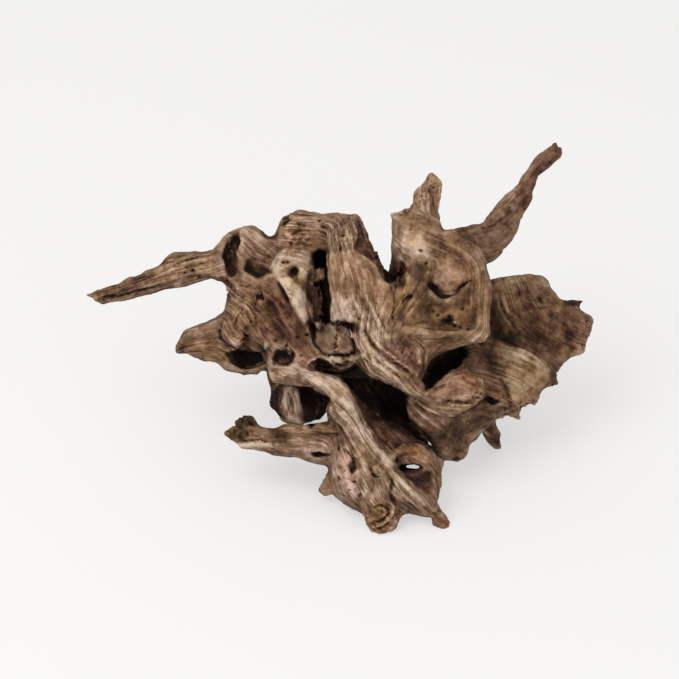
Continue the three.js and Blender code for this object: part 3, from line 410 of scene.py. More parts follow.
patch([(42, 4), (70, 1), (97, 0), (84, -4), (70, -8), (58, -11), (50, -8)], 3, ochre=0.5,
      rosy=0.3, pale=0.4)
patch([(70, 62), (84, 56), (96, 44), (99, 28), (99, 6), (92, 8), (91, 26), (88, 40), (78, 52)], 4,
      ochre=0.6, pale=0.15, smooth=0.3)
mark([(48, 79), (62, 73), (75, 64), (88, 55), (96, 45), (98, 30), (98, 12)], 5.5, -1.2,
     sharp=1.0, pale=0.15)
stranded([(54, 77), (66, 70), (80, 60), (92, 49), (96, 36), (96, 20)],
         [(56, 72), (66, 65), (76, 56), (86, 45), (90, 34), (90, 20)], 0.3, 0.1)
mark([(99, 2), (90, 4), (78, 3), (62, 4), (50, 7), (42, 7), (36, 3), (30, 2)], 3.4, -1.2,
     sharp=1.0, ochre=0.6)
stranded([(96, 3), (80, 5), (62, 6), (48, 8)],
         [(96, -1), (82, -2), (66, -3), (54, -7)], 0.7, 0.25)
mark([(90, 8), (76, 7), (60, 8), (48, 11)], 2.0, 0.9, dark=0.25, mossy=0.4)
mark([(61, 103), (57, 95), (57, 82)], 1.4, 1.2, dark=0.5)
mark([(64, 100), (63, 92), (65, 80)], 1.3, 1.0, dark=0.45)
mark([(55, 100), (53, 93), (54, 84)], 1.3, 1.2, dark=0.5)
mark([(48, 92), (50, 86), (48, 80)], 0.9, 0.9, dark=0.35)
mark([(67, 100), (65, 92), (67, 82)], 1.2, -0.8, pale=0.5)
mark([(59, 100), (59, 92), (60, 82)], 1.2, -0.8, pale=0.5)
mark([(59, 104), (63, 102.5), (68, 104)], 1.0, 1.2, dark=0.7, taper=0.1)
spot((64, 108), (7, 6), deep=-0.8, dark=0.15, mossy=0.6, smooth=1.0)
stranded([(58, 75), (66, 68), (71, 59), (69, 50), (63, 43)],
         [(50, 70), (58, 63), (61, 56), (61, 50), (57, 44)], 0.35, 0.1)
spot((53, 60), (2.0, 1.5), deep=2.4, dark=1.0)
spot((57, 51), (1.5, 1.8), deep=2.0, dark=1.0)
spot((47, 74), (1.2, 1.8), deep=1.0, dark=0.8)
spot((58.5, 45), (1.8, 2.2), turn=30, deep=-0.6, pale=1.0)
mark([(61, 38), (63, 32), (68, 29), (72, 29), (78, 33), (83, 37), (88, 41)], 1.5, 2.2, dark=1.0,
     taper=0.12)
spot((62.5, 36), (2.2, 3.4), deep=1.6, dark=1.0)
spot((74, 33), (9, 4), turn=25, deep=-2.2, rosy=0.6)
mark([(72, 46), (79, 44), (87, 41)], 0.9, 0.6, dark=0.25)
mark([(67, 44), (69, 38), (73, 35)], 0.8, 0.5, dark=0.2)
mark([(41, 24), (44, 28), (48, 30)], 1.4, 2.6, dark=1.0, taper=0.2)
stranded([(34, 40), (40, 36), (48, 38)],
         [(36, 18), (43, 18), (51, 16)], 1, 0.15)
stranded([(37, 70), (40, 58), (42, 44)],
         [(46, 62), (46, 52), (48, 40)], 1, 0.15)
for pit, size in (((65, 17), 1.5), ((71, 13), 1.7), ((76, 10), 1.6), ((80, 8.5), 1.2),
                  ((85, 7.5), 1.5), ((73, 16), 1.2), ((81, 21), 1.0), ((62, 20), 1.0)):
    spot(pit, (size * 1.4, size * 0.9), turn=-35, deep=1.5, dark=0.8)
spot((77, 12), (1.8, 1.2), deep=-0.6, pale=0.9)
spot((69, 16), (5, 4), deep=-0.9, rosy=0.3)
mark([(54, 22), (64, 24), (76, 24)], 1.4, 0.7, dark=0.2)
# Painted shade on the underside of the head's rim.
spot((75, -9), (16, 4), turn=14, dark=0.45)
patch([(64, -8), (80, -4), (98, 0), (98, -4), (84, -8), (70, -13)], 2.5, dark=0.3)

# The crown ridge runs from the pale sunlit face under the knot block down to the front. Long parallel
# strands stand proud on it, with dark lines between and ragged bark bits on its right edge.
pull((19, 70), (8, 14), (1.6, 0))
grain((-6, 84), (-8, 66), (-8, 45), (-6, 24), (-6, 10))
grain((4, 84), (4, 64), (6, 46), (10, 30), (16, 14), (26, 0), (40, -14), (54, -28))
grain((12, 82), (14, 62), (20, 50), (26, 38), (31, 26), (32, 14), (38, 4))
grain((6, 26), (10, 10), (16, -4), (26, -14), (40, -24), (54, -32))
grain((7, 14), (9, 0), (13, -12), (20, -22), (34, -28), (46, -37), (58, -45), (76, -50))
grain((30, 0), (38, -4), (48, -2))
grain((30, -8), (38, -12), (48, -10), (52, -16))
grain((34, -18), (44, -20), (52, -28))
grain((52, -8), (53, -18), (50, -28))
patch([(-9, 58), (8, 58), (20, 54), (28, 46), (33, 38), (30, 28), (14, 30), (-6, 30)], 4,
      pale=0.35, rosy=0.25, smooth=0.5, ochre=0.5)
patch([(-8, 34), (8, 29), (9, 14), (-6, 10)], 7, pale=1.0, rosy=0.3, smooth=0.7)
patch([(22, 30), (28, 30), (34, 14), (29, 10), (24, 18)], 3, pale=0.4, rosy=0.3, smooth=0.4)
patch([(28, 38), (34, 38), (37, 26), (35, 14), (31, 24)], 2.5, ochre=0.8, rosy=0.5, dark=0.1)
patch([(8, 28), (16, 28), (30, 6), (34, 1), (24, -2), (12, 10)], 3, pale=0.6)
mark([(2, 32), (10, 20), (15, 8), (24, -4)], 1.6, 0.9, dark=0.25)
mark([(10, 34), (14, 26), (22, 14), (27, 4)], 1.5, 0.8, dark=0.3)
mark([(19, 38), (22, 30), (27, 18), (30, 8)], 1.6, 0.8, dark=0.2)
mark([(6, 34), (12, 22), (19, 10), (27, -2)], 2.0, -1.0, pale=0.8)
mark([(15, 36), (19, 26), (25, 14), (29, 6)], 1.8, -0.9, pale=0.7)
mark([(-3, 34), (3, 24), (10, 10), (17, -2)], 2.0, -1.0, pale=0.8)
patch([(6, 12), (12, 6), (30, -10), (46, -26), (56, -36), (46, -38), (20, -22), (10, -6)], 3,
      pale=0.6)
for shift in (0, 4, 8):
    between = [(u + shift, v + shift) for u, v in ((7, 4), (13, -10), (26, -22), (44, -34))]
    proud = [(u + shift, v + shift) for u, v in ((9, 5), (15, -8), (28, -20), (46, -32))]
    mark(between, 1.5, 1.1, dark=0.5)
    mark(proud, 1.6, -1.2, pale=0.8)
patch([(30, -3), (50, 1), (53, -12), (55, -26), (46, -26), (34, -18), (28, -9)], 4, rosy=1.0,
      dark=0.2, smooth=0.6, deep=0.9)
# Painted shade on the facet right of the ridge, which turns away from the light; its rosy tint is the
# wood's own.
patch([(12, 84), (17, 73), (21, 62), (27, 52), (18, 56), (9, 61), (11, 71)], 2, dark=0.55,
      rosy=0.8, deep=1.0)
patch([(1, 84), (7, 84), (6, 76), (2, 71), (-1, 78)], 2.0, dark=0.35, deep=1.2)
mark([(-3, 80), (-1, 70), (0, 60), (-2, 56)], 1.6, 1.5, dark=0.5)
mark([(3, 72), (5, 64), (4, 58)], 1.5, 1.2, dark=0.5)
mark([(9, 80), (11, 70), (8, 62)], 1.5, -1.6, pale=0.6, rosy=0.5)
stranded([(-8, 82), (-9, 70), (-9, 56)],
         [(10, 78), (10, 68), (8, 58)], 1, 0.25)
mark([(8, 58), (16, 56), (25, 48), (33, 40)], 2.4, -1.2, pale=0.35, ochre=0.4)
mark([(-8, 60), (-9, 44), (-7, 28)], 2.0, -1.2, pale=0.6)
stranded([(-6, 54), (-5, 40), (-4, 26)],
         [(24, 50), (26, 40), (30, 30)], 0.5, 0)
stranded([(0, 30), (9, 18), (17, 6), (30, -6)],
         [(20, 32), (25, 20), (30, 9), (36, 3)], 0.95, 0.3)
stranded([(7, 18), (11, 4), (19, -8), (34, -18), (48, -28)],
         [(8, 2), (14, -14), (24, -24), (42, -34), (56, -43)], 1, 0.35)
mark([(20, 34), (24, 20), (30, 8), (34, 3)], 1.3, 1.0, dark=0.4, ochre=0.6)
mark([(33, 36), (36, 26), (35, 15), (38, 8)], 1.3, 1.2, dark=0.45)
for ring in range(5):
    out = 2.4 + ring * 3.0
    mark([(38 - out, -4), (38 - out * 0.4, -4 - out), (38 + out * 0.7, -4 - out * 0.7),
          (38 + out, -2)], 0.9, 0.7, dark=0.4, taper=0.2)
mark([(51, -7), (53, -16), (50, -27)], 2.4, -1.6, rosy=0.5, ochre=0.4)
# A painted highlight on the fold's lump.
spot((52, -14), (1.6, 2.8), deep=-0.5, pale=1.0)
spot((44, -20), (3.6, 2.4), turn=-40, deep=1.2, dark=0.4)
for place in ((22, 58), (25, 53), (27, 49), (30, 45), (34, 43), (38, 42), (41, 40), (24, 56)):
    spot(place, (2.6, 3.2), turn=30, deep=-2.4, dark=0.85, frayed=1.0)

# The blocks left of the crown are an older broken root: a flat-topped block with end grain, torn
# fibre below it, and a grey knot block split by a black crack.
pull((-46, 74), (10, 9), (0, -4.5))
pull((-49, 73), (8, 7), (0, -1.5))
grain((-42, 78), (-20, 80), (-4, 80))
grain((-40, 66), (-24, 68), (-8, 66))
grain((-44, 56), (-34, 56), (-24, 56))
grain((-46, 50), (-40, 42), (-34, 34), (-27, 22), (-22, 12))
grain((-28, 40), (-22, 28), (-18, 16))
grain((-12, 56), (-14, 40), (-12, 24), (-12, 12))
patch([(-46, 56), (-38, 61), (-20, 60), (-18, 48), (-24, 40), (-40, 42), (-50, 42)], 3, pale=0.75,
      smooth=0.4)
patch([(-42, 42), (-34, 42), (-26, 34), (-21, 26), (-19, 15), (-25, 11), (-31, 22), (-36, 32)], 2.2,
      deep=-1.2, pale=1.0, smooth=0.6)
# The dark tint on the slot's facets and the near-black at its top are painted shade.
facet([(-22, 38), (-14, 36), (-11, 24), (-14, 8), (-20, 12), (-24, 22)], (-24, 26), (-0.5, 0.1), -3,
      rosy=0.8, dark=0.08, smooth=0.6)
facet([(-14, 38), (-9, 40), (-6, 28), (-9, 10), (-14, 8), (-11, 24)], (-24, 26), (-1.0, 0.2), -8,
      rosy=0.6, dark=0.2, smooth=0.6)
facet([(-21, 46), (-14, 49), (-9, 48), (-9, 41), (-16, 38), (-22, 40)], (-24, 44), (-0.3, 0.2), -3,
      pale=0.5, ochre=0.3)
patch([(-19, 59), (-10, 60), (-9, 50), (-14, 49), (-20, 51)], 1.8, dark=0.8)
patch([(-40, 84), (-36, 86), (-33, 80), (-38, 74)], 1.5, dark=0.7, deep=1.4)
patch([(-37, 71), (-28, 73), (-19, 70), (-20, 64), (-30, 62), (-38, 64)], 4, rosy=0.6, pale=0.5,
      frayed=1.0)
stranded([(-38, 85), (-20, 86), (-4, 85)],
         [(-38, 72), (-20, 73), (-6, 72)], 1, 0.2)
stranded([(-42, 62), (-32, 61), (-22, 61)],
         [(-46, 50), (-38, 51), (-28, 53)], 0.5, 0.05)
for crumb in ((-36, 68), (-31, 71), (-26, 68), (-33, 65), (-28, 65), (-22, 67), (-24, 71)):
    spot(crumb, (2.2, 1.2), turn=20, deep=1.0, dark=0.6)
    spot((crumb[0] + 2, crumb[1] - 1.8), (2.0, 1.2), deep=-0.8, pale=0.7)
mark([(-20, 41), (-16, 44), (-10, 47)], 1.5, -1.6, pale=0.6)
mark([(-18, 39), (-14, 30), (-13, 18)], 1.4, 1.0, dark=0.4)
mark([(-42, 40), (-37, 34), (-33, 29), (-31, 25)], 0.95, 2.4, dark=1.0, taper=0.15)
mark([(-38, 39), (-34, 34), (-31, 29)], 0.8, 1.0, dark=0.6)
mark([(-27, 36), (-22, 26), (-20, 16)], 1.0, 0.8, dark=0.3)
spot((-32, 46), (7.0, 4.8), deep=1.4, dark=0.4, mossy=0.6, ochre=0.4)
spot((-30.5, 45), (3.2, 2.8), deep=2.8, dark=1.0)
mark([(-40, 47), (-36, 50), (-29, 51), (-25, 47)], 1.1, -0.9, ochre=0.4)
mark([(-38, 45), (-34, 42), (-28, 42)], 1.1, -0.8, ochre=0.4)
for place in ((-28, 78), (-12, 76), (2, 70), (-14, 80), (-38, 52), (-35, 52)):
    spot(place, (2.0, 1.4), deep=1.5, dark=0.9)

# The left arm reaches out to a two-pronged tip. It is tan with long dark furrows, and swells at its
# root into a hollowed arch and a square dent.
for place, size, move in (
    ((-168, 29), (10, 8), (3, 0)), ((-156, 25), (8, 5), (-0.5, -2)), ((-112, 58), (16, 7), (1, -1.2)),
    ((-90, 60), (14, 7), (0, -1.3)), ((-140, 39), (14, 6), (0, 1)),
):
    pull(place, size, move)
grain((-168, 30), (-150, 36), (-130, 44), (-110, 54), (-90, 58), (-80, 62))
grain((-165, 27), (-140, 34), (-118, 42), (-98, 46), (-82, 46))
grain((-156, 24), (-135, 30), (-110, 38), (-92, 42))
grain((-82, 62), (-76, 70), (-64, 74), (-50, 68), (-44, 60))
grain((-70, 66), (-66, 58), (-64, 46), (-58, 38))
grain((-62, 50), (-54, 50), (-46, 48))
stranded([(-165, 31), (-140, 40), (-116, 55), (-90, 58)],
         [(-152, 26), (-134, 31), (-112, 38), (-92, 41)], 0.45, 0.2)
mark([(-158, 27.5), (-146, 30), (-134, 33), (-120, 37)], 1.5, 1.6, dark=0.7, taper=0.2)
mark([(-112, 50), (-104, 53), (-96, 55), (-88, 56)], 1.2, 1.4, dark=0.7)
mark([(-106, 48), (-98, 50), (-88, 52)], 1.1, 1.2, dark=0.6)
mark([(-160, 28), (-156, 29), (-150, 30)], 1.4, 2.0, dark=0.9, taper=0.1)
patch([(-168, 33), (-142, 40), (-124, 46), (-124, 40), (-136, 32), (-158, 22)], 4, dark=0.5,
      ochre=0.3)
patch([(-134, 43), (-116, 51), (-102, 55), (-100, 47), (-118, 41)], 6, pale=0.7, ochre=0.5)
patch([(-102, 55), (-84, 58), (-84, 44), (-100, 44)], 5, pale=0.5, ochre=0.6, smooth=0.3)
patch([(-122, 52), (-112, 57), (-108, 52), (-118, 46)], 2.5, rosy=0.8, pale=0.3)
spot((-98, 46), (3.4, 1.7), turn=-25, deep=2.0, dark=1.0)
spot((-94, 42), (2.2, 3.0), turn=30, deep=1.4, rosy=0.7, dark=0.3)
spot((-104, 45), (1.6, 1.2), deep=1.4, dark=0.9)
patch([(-80, 60), (-76, 66), (-73, 58), (-69, 50), (-69, 44), (-76, 42), (-81, 46)], 2.6, pale=0.6,
      rosy=0.9, smooth=0.5)
patch([(-74, 56), (-70, 50), (-70, 44), (-75, 44)], 2, dark=0.15)
patch([(-73, 71), (-68, 72), (-67, 64), (-70, 62)], 1.4, deep=1.6, dark=0.7, rosy=0.5)
mark([(-74, 68), (-74, 62), (-71, 58)], 1.2, -1.6, pale=0.9, taper=0.15)
mark([(-67, 73), (-65, 66), (-68, 58), (-64, 54)], 2.4, -1.2, pale=0.4, ochre=0.5)
stranded([(-64, 74), (-54, 72), (-46, 66)],
         [(-66, 58), (-56, 60), (-46, 56)], 0.6, 0.1)
facet([(-64, 47), (-62, 54), (-56, 57), (-47, 54), (-46, 45), (-55, 41)], (-55, 48), (0.25, 0.25), -0.5,
      dark=0.38, mossy=0.4, rosy=0.4, smooth=0.4)
stranded([(-63, 54), (-55, 55), (-48, 53)],
         [(-62, 45), (-55, 44), (-47, 45)], 0.5, 0)
patch([(-82, 42), (-74, 42), (-71, 34), (-74, 29), (-80, 36)], 2, frayed=0.8, dark=0.3, rosy=0.5)

# The plates under the blocks are cracked and pinkish, and the fin below them is a pale fibrous flap
# whose curled edge hangs over a black mouth.
grain((-76, 38), (-66, 34), (-56, 28), (-46, 18), (-36, 8), (-26, -6))
grain((-74, 24), (-64, 14), (-54, 8), (-42, 2), (-30, -8))
grain((-48, -4), (-38, -10), (-26, -16))
grain((-50, -20), (-38, -20), (-26, -20))
grain((-106, 4), (-95, 7), (-82, 12), (-74, 18))
grain((-108, -4), (-92, -1), (-80, -1))
grain((-100, -10), (-88, -9), (-76, -12), (-60, -19), (-50, -18))
grain((-78, 10), (-76, 2), (-70, -4), (-64, -6))
grain((-72, 12), (-68, 6), (-62, 0))
patch([(-50, 32), (-38, 30), (-30, 18), (-22, 8), (-22, -8), (-34, -4), (-46, 6), (-52, 18)], 4,
      rosy=0.9, dark=0.45, smooth=0.3)
patch([(-46, 40), (-38, 38), (-32, 26), (-42, 26), (-48, 32)], 3, pale=0.3, rosy=0.3, smooth=0.5)
patch([(-38, 4), (-20, 8), (-19, -4), (-15, -12), (-24, -20), (-31, -8)], 3, rosy=1.0, pale=0.25,
      ochre=0.4)
patch([(-58, 14), (-48, 12), (-46, 0), (-54, 0)], 3, rosy=0.8, dark=0.12)
patch([(-48, -14), (-30, -16), (-26, -28), (-44, -30)], 3, pale=0.45, rosy=0.3)
patch([(-106, 7), (-90, 11), (-80, 14), (-82, 4), (-100, 2)], 3, pale=0.4, ochre=0.3)
patch([(-106, 0), (-84, 2), (-80, -4), (-74, -8), (-80, -14), (-98, -10)], 3, ochre=0.7, dark=0.12)
patch([(-79, 12), (-71, 14), (-62, 5), (-66, -4), (-76, -1), (-80, 4)], 1.6, deep=-1.8, ochre=0.4)
mark([(-79, 13), (-80, 6), (-79, 1), (-74, -3), (-68, -6), (-64, -7)], 1.1, 2.4, dark=1.0, taper=0.1)
patch([(-73, -1), (-68, 5), (-56, 4), (-51, -4), (-58, -6), (-70, -5)], 2.5, pale=0.7, rosy=0.7)
# The black inside the mouth is painted shade.
patch([(-76, -9), (-70, -7), (-60, -9), (-53, -8), (-52, -13), (-58, -18), (-66, -19), (-73, -15)], 1.6,
      deep=2.0, dark=1.0)
stranded([(-77, 10), (-76, 4), (-70, -2)],
         [(-69, 12), (-68, 6), (-63, -2)], 0.9, 0.2)
stranded([(-102, 8), (-92, 11), (-82, 15)],
         [(-106, -7), (-92, -9), (-80, -11)], 0.8, 0.1)
stranded([(-76, 38), (-66, 34), (-58, 30)],
         [(-78, 18), (-68, 16), (-60, 12)], 1, 0.15)
stranded([(-50, 26), (-40, 22), (-30, 14)],
         [(-50, 4), (-40, 2), (-30, -6)], 0.8, 0)
mark([(-82, -18), (-66, -22), (-52, -20)], 2.0, -0.8, rosy=0.3, frayed=0.6)
mark([(-54, 33), (-55, 28), (-57, 20), (-56, 8)], 1.0, 1.2, dark=0.8, taper=0.3)
facet([(-62, 34), (-53, 34), (-51, 24), (-54, 11), (-61, 12)], (-62, 22), (0.2, 0.0), 0, rosy=0.4)
spot((-54.5, 29), (3.0, 2.4), turn=30, deep=2.4, dark=1.0)
mark([(-66, 20), (-69, 14), (-70, 8)], 1.1, 1.6, dark=0.7)
mark([(-63, 26), (-66, 20), (-64, 14)], 1.0, 1.2, dark=0.5)
mark([(-72, 38), (-64, 36), (-58, 38)], 1.1, 1.2, dark=0.6)
mark([(-50, 18), (-45, 16), (-40, 13)], 1.0, 1.8, dark=0.95)
mark([(-36, -2), (-32, -8), (-30, -16)], 1.1, 1.3, dark=0.65)
mark([(-56, 10), (-52, 2), (-46, -4)], 1.5, -1.0, pale=0.5, rosy=0.6)
for pit in ((-53, 28), (-60, 12), (-26, -10), (-28, 2), (-22, 4), (-36, -4), (-43, 0)):
    spot(pit, (2.0, 1.4), deep=1.6, dark=0.95)
spot((-49, -3), (2.6, 3.8), turn=-10, deep=-1.6, pale=1.0)
facet([(-46, -12), (-43, -7), (-36, -6), (-31, -9), (-32, -15), (-38, -18), (-44, -16)], (-47, -12),
      (0.0, 0.0), -3, dark=0.25)
patch([(-45, -11), (-40, -9), (-34, -10), (-36, -12.5), (-42, -13.5)], 1.8, deep=1.6, dark=0.75)
mark([(-43, -15), (-38, -15.5), (-34, -13)], 1.3, 0.8, dark=0.5)
# Painted highlights on two small lumps in the eye.
spot((-34, -9), (1.8, 1.2), deep=-0.8, pale=1.0)
spot((-40, -14), (1.8, 1.0), deep=-0.8, pale=0.6)
mark([(-46, -10), (-44, -17), (-36, -18), (-31, -14)], 1.4, -1.3, pale=0.6)
spot((-40, -24), (6, 4), deep=-0.8, pale=0.5, rosy=0.3)
mark([(-46, -21), (-40, -19), (-32, -21)], 1.2, 1.0, dark=0.5)
patch([(-50, -20), (-46, -20), (-44, -31), (-49, -28)], 1.5, dark=0.4, frayed=0.6)

# The torn shelf below the crown is a ragged lip over a shadowed hollow, and left of it stands a faceted
# stump deep in shadow, whose darkness is painted shade.
pull((-46, -28), (7, 12), (-1.8, 0))
pull((-46, -44), (6, 9), (-1.4, 0))
pull((-10, -45), (5, 9), (2, 0))
grain((-24, -16), (-12, -12), (0, -12), (12, -10))
grain((-14, 6), (-6, 0), (4, -4))
facet([(-17, 12), (-2, 12), (-3, -9), (-9, -12), (-18, -2)], (-4, 0), (0.25, 0.05), 3, pale=0.75,
      smooth=0.6)
facet([(-2, 12), (12, 11), (15, -8), (2, -12), (-3, -7)], (-4, 0), (0.0, -0.25), 4, rosy=0.8,
      pale=1.0, smooth=0.4, ochre=0.3)
mark([(4, 9), (2, 3), (6, 0), (3, -5)], 1.2, -1.2, pale=1.0, ochre=0.5)
spot((9, 3), (2.4, 1.6), turn=40, deep=-1.0, pale=1.0)
mark([(-9, -11), (-3, -12.5), (4, -15), (9, -12), (12, -9)], 2.6, -2.2, pale=1.0, rosy=0.6,
     frayed=1.0, taper=0.15)
mark([(-13, 9), (-4, 11), (7, 10)], 1.4, -1.0, pale=0.7, taper=0.1)
mark([(-2, 8), (-2.5, 0), (-4, -8)], 1.0, 1.0, dark=0.5)
mark([(-23, -19), (-21, -14), (-14, -11), (-8, -13), (-5, -16), (2, -18), (9, -14), (12, -11)], 1.9,
     -2.4, pale=1.0, rosy=0.4, frayed=0.9, taper=0.1)
# Painted shade in the hollow under the shelf's lip and in the deep crevice between the crown and the
# front root.
patch([(-16, -12), (-10, -12), (-6, -16), (-9, -19), (-15, -17)], 1.4, deep=2.4, dark=0.9,
      rosy=0.5)
mark([(-22, -20.5), (-14, -20.5), (-6, -22), (4, -21), (12, -17)], 1.8, 3.0, dark=1.0, taper=0.1)
patch([(0, -21), (12, -16), (20, -26), (38, -30), (46, -38), (44, -48), (50, -57), (62, -67),
       (60, -70), (40, -62), (22, -52), (10, -36), (2, -28)], 2.5, dark=1.0)
grain((-44, -28), (-42, -42), (-38, -56))
grain((-30, -28), (-28, -42), (-26, -56))
grain((-18, -34), (-16, -46), (-18, -56))
# The stump's dark facets are painted shade.
facet([(-50, -44), (-44, -31), (-37, -32), (-38, -52), (-42, -50)], (-37, -42), (0.9, 0.0), 0,
      dark=0.75, rosy=0.4)
patch([(-37, -30), (-29, -31), (-25, -46), (-27, -57), (-36, -54), (-42, -46)], 2.0, pale=0.95,
      rosy=0.6)
mark([(-34, -31), (-37, -38), (-41, -48)], 1.6, -1.4, pale=1.0)
mark([(-31, -32), (-33, -42), (-37, -54)], 1.3, 1.0, dark=0.3)
mark([(-30, -33), (-30, -44), (-31, -56)], 1.8, -1.2, pale=0.8, rosy=0.6)
facet([(-27, -31), (-18, -31), (-14, -44), (-19, -58), (-25, -54)], (-26, -44), (-0.7, 0.0), 0,
      dark=1.0, rosy=0.6)
facet([(-18, -31), (-7, -38), (-9, -50), (-19, -58), (-14, -44)], (-17, -44), (-1.2, 0.2), -1,
      dark=0.9, rosy=0.6)
stranded([(-37, -32), (-38, -42), (-39, -52)],
         [(-28, -34), (-28, -44), (-29, -54)], 1, 0.3)
mark([(-44, -31), (-36, -30), (-26, -31), (-16, -34)], 1.2, 1.6, dark=1.0, taper=0.1)
# A painted glint on the stump.
spot((-25, -35), (1.4, 2.4), turn=30, pale=0.9)

# The front root comes forward and down to a swirled end and a thin toe. Two pale ridges run along it
# with mauve hollows between, a slit passes through it, and it is full of pits.
for place, size, move in (
    ((70, -122), (7, 6), (-2, -0.5)), ((64, -122), (6, 6), (-2.5, -1.5)),
    ((18, -124), (8, 8), (-1.5, -1.5)), ((34, -124), (8, 8), (2, -1)), ((3, -108), (9, 7), (1, 1.2)),
    ((68, -96), (7, 14), (-1.2, 0)), ((55.5, -68), (4, 7), (2, 0)), ((-3, -50), (8, 11), (-3.5, 0)),
    ((-5, -46), (5, 9), (-2.4, 0)), ((44, -85), (7, 5), (-3.2, 0)), ((52, -85), (5, 4), (2, 0)),
):
    pull(place, size, move)
grain((-30, -20), (-12, -28), (0, -36), (8, -50), (15, -65), (25, -77), (33, -84))
grain((-20, -24), (-4, -38), (4, -52), (11, -68), (15, -80), (17, -100), (22, -112))
grain((14, -40), (26, -58), (40, -68), (54, -76), (62, -86))
grain((-6, -66), (-4, -80), (2, -94), (10, -106))
grain((32, -84), (38, -92), (50, -103), (62, -112), (70, -120))
grain((30, -88), (28, -100), (26, -112))
grain((16, -118), (26, -112), (36, -116))
grain((60, -90), (64, -100), (64, -110))
patch([(-28, -17), (-6, -23), (6, -32), (14, -50), (24, -68), (36, -82), (30, -84), (16, -68),
       (4, -52), (-6, -38), (-26, -26)], 3, deep=-1.4, pale=0.6)
patch([(-10, -42), (0, -44), (10, -60), (18, -76), (20, -100), (16, -104), (12, -80), (2, -60)], 3,
      deep=-0.8, pale=0.55)
stranded([(-26, -18), (-6, -25), (6, -36), (16, -54), (26, -70), (34, -80)],
         [(-26, -26), (-10, -34), (-2, -44), (8, -58), (18, -74), (28, -84)], 1, 0.5)
stranded([(-6, -40), (6, -56), (13, -70), (17, -84), (19, -102)],
         [(-10, -46), (-2, -58), (6, -72), (13, -86), (14, -102)], 1, 0.3)
mark([(8, -36), (16, -50), (24, -62), (36, -74)], 1.4, 1.2, dark=0.5)
mark([(-6, -42), (-2, -50), (0, -58), (4, -66)], 1.2, 1.3, dark=0.7, mossy=0.6)
# The root's right flank turns away from the light: its darkening is painted shade, its ochre and rosy
# tints the wood's own.
patch([(8, -34), (16, -42), (30, -54), (48, -64), (56, -71), (40, -74), (28, -72), (16, -54)], 3.5,
      smooth=0.5, dark=0.5, ochre=0.3, rosy=0.4)
patch([(34, -72), (48, -68), (60, -76), (62, -84), (50, -78), (40, -78)], 2.5, ochre=0.9,
      rosy=0.4, smooth=0.5, dark=0.08)
facet([(35, -81), (41, -76), (50, -75), (58, -78), (61, -83), (50, -83.5), (40, -84)], (47, -73),
      (0.0, 0.5), -1.5, rosy=0.8, pale=0.15)
facet([(40, -88), (50, -87), (61, -87), (63, -97), (61, -104), (52, -98)], (56, -98), (-0.1, -0.4), 0,
      rosy=1.0, dark=0.72, smooth=0.8)
mark([(38, -79), (48, -77), (58, -82)], 1.6, -1.2, ochre=0.6)
patch([(60, -80), (67, -86), (69, -96), (66, -106), (62, -92)], 2.0, ochre=0.7, dark=0.35,
      frayed=0.5)
mark([(33, -82), (36, -90), (46, -100), (58, -110), (66, -116)], 3.0, -1.6, sharp=1.0, pale=0.6)
stranded([(34, -88), (44, -98), (58, -109)],
         [(32, -96), (40, -106), (50, -113)], 1, 0.4)
stranded([(30, -84), (29, -96), (30, -110)],
         [(22, -92), (21, -102), (20, -110)], 1, 0.35)
mark([(35, -90), (34, -102), (38, -111)], 2.2, 1.6, dark=0.5, rosy=0.4)
spot((25, -86), (5.4, 5.0), deep=-1.8, ochre=0.5, pale=0.2)
mark([(20, -84), (22, -90), (28, -91)], 1.1, 2.0, dark=0.95)
mark([(22, -81), (27, -83), (29, -88)], 0.9, 0.9, dark=0.5)
for place, size in (((31, -67), (1.8, 2.2)), ((-1, -92), (3.0, 2.4)), ((-1, -72), (1.4, 2.6)),
                    ((8, -86), (1.1, 2.8)), ((9, -94), (1.8, 1.2)), ((22, -90), (1.6, 1.4)),
                    ((14, -103), (3.0, 2.0)), ((38, -80), (1.6, 1.4)), ((6, -100), (1.4, 1.1))):
    spot(place, size, deep=1.8, dark=0.9)
spot((31, -71), (2.4, 2.0), deep=-0.8, ochre=0.8, rosy=0.5)
patch([(-20, -75.5), (-14, -74.5), (-7, -76), (-9, -77.5), (-18, -77.5)], 1.0, deep=1.8, dark=0.8,
      mossy=0.8)
patch([(-8, -78), (6, -68), (12, -80), (14, -96), (10, -108), (0, -100), (-6, -90)], 4, rosy=0.75,
      pale=0.6)
mark([(2, -72), (8, -78), (10, -88)], 1.6, 1.4, dark=0.5, rosy=0.8)
mark([(-6, -84), (0, -82), (6, -86)], 2.2, -1.2, pale=0.4)
mark([(-4, -96), (4, -94), (10, -98)], 2.2, -1.4, rosy=0.7)
mark([(-4, -100), (2, -104), (8, -108)], 1.2, 1.2, dark=0.6)
mark([(-7, -88), (-4, -94), (-4, -100)], 1.2, 1.2, dark=0.6)
patch([(-13, -100), (-6, -96), (-2, -100), (-8, -103)], 1.6, pale=0.4, ochre=0.3)
patch([(16, -110), (24, -106), (34, -110), (40, -116), (34, -126), (24, -130), (18, -122)], 3,
      ochre=0.7, dark=0.2)
mark([(20, -119), (24, -121), (30, -118), (32, -113), (27, -110), (21, -112)], 1.6, 1.6, dark=0.7)
mark([(23, -116), (27, -116), (28, -113)], 1.1, 1.4, dark=0.6)
mark([(19, -125), (27, -125), (34, -119), (37, -112)], 1.4, 1.4, dark=0.6)
mark([(17, -121), (24, -124), (33, -119), (35, -110), (28, -106)], 1.6, -1.5, pale=0.6)
mark([(22, -114), (28, -111.5), (30, -116), (25, -118.5)], 1.3, -1.2, pale=0.5, rosy=0.5)
mark([(24, -129), (32, -126), (39, -118)], 1.8, -1.2, pale=0.4, ochre=0.5)
patch([(14, -112), (24, -108), (38, -112), (40, -120), (34, -130), (18, -128)], 3, frayed=0.6)
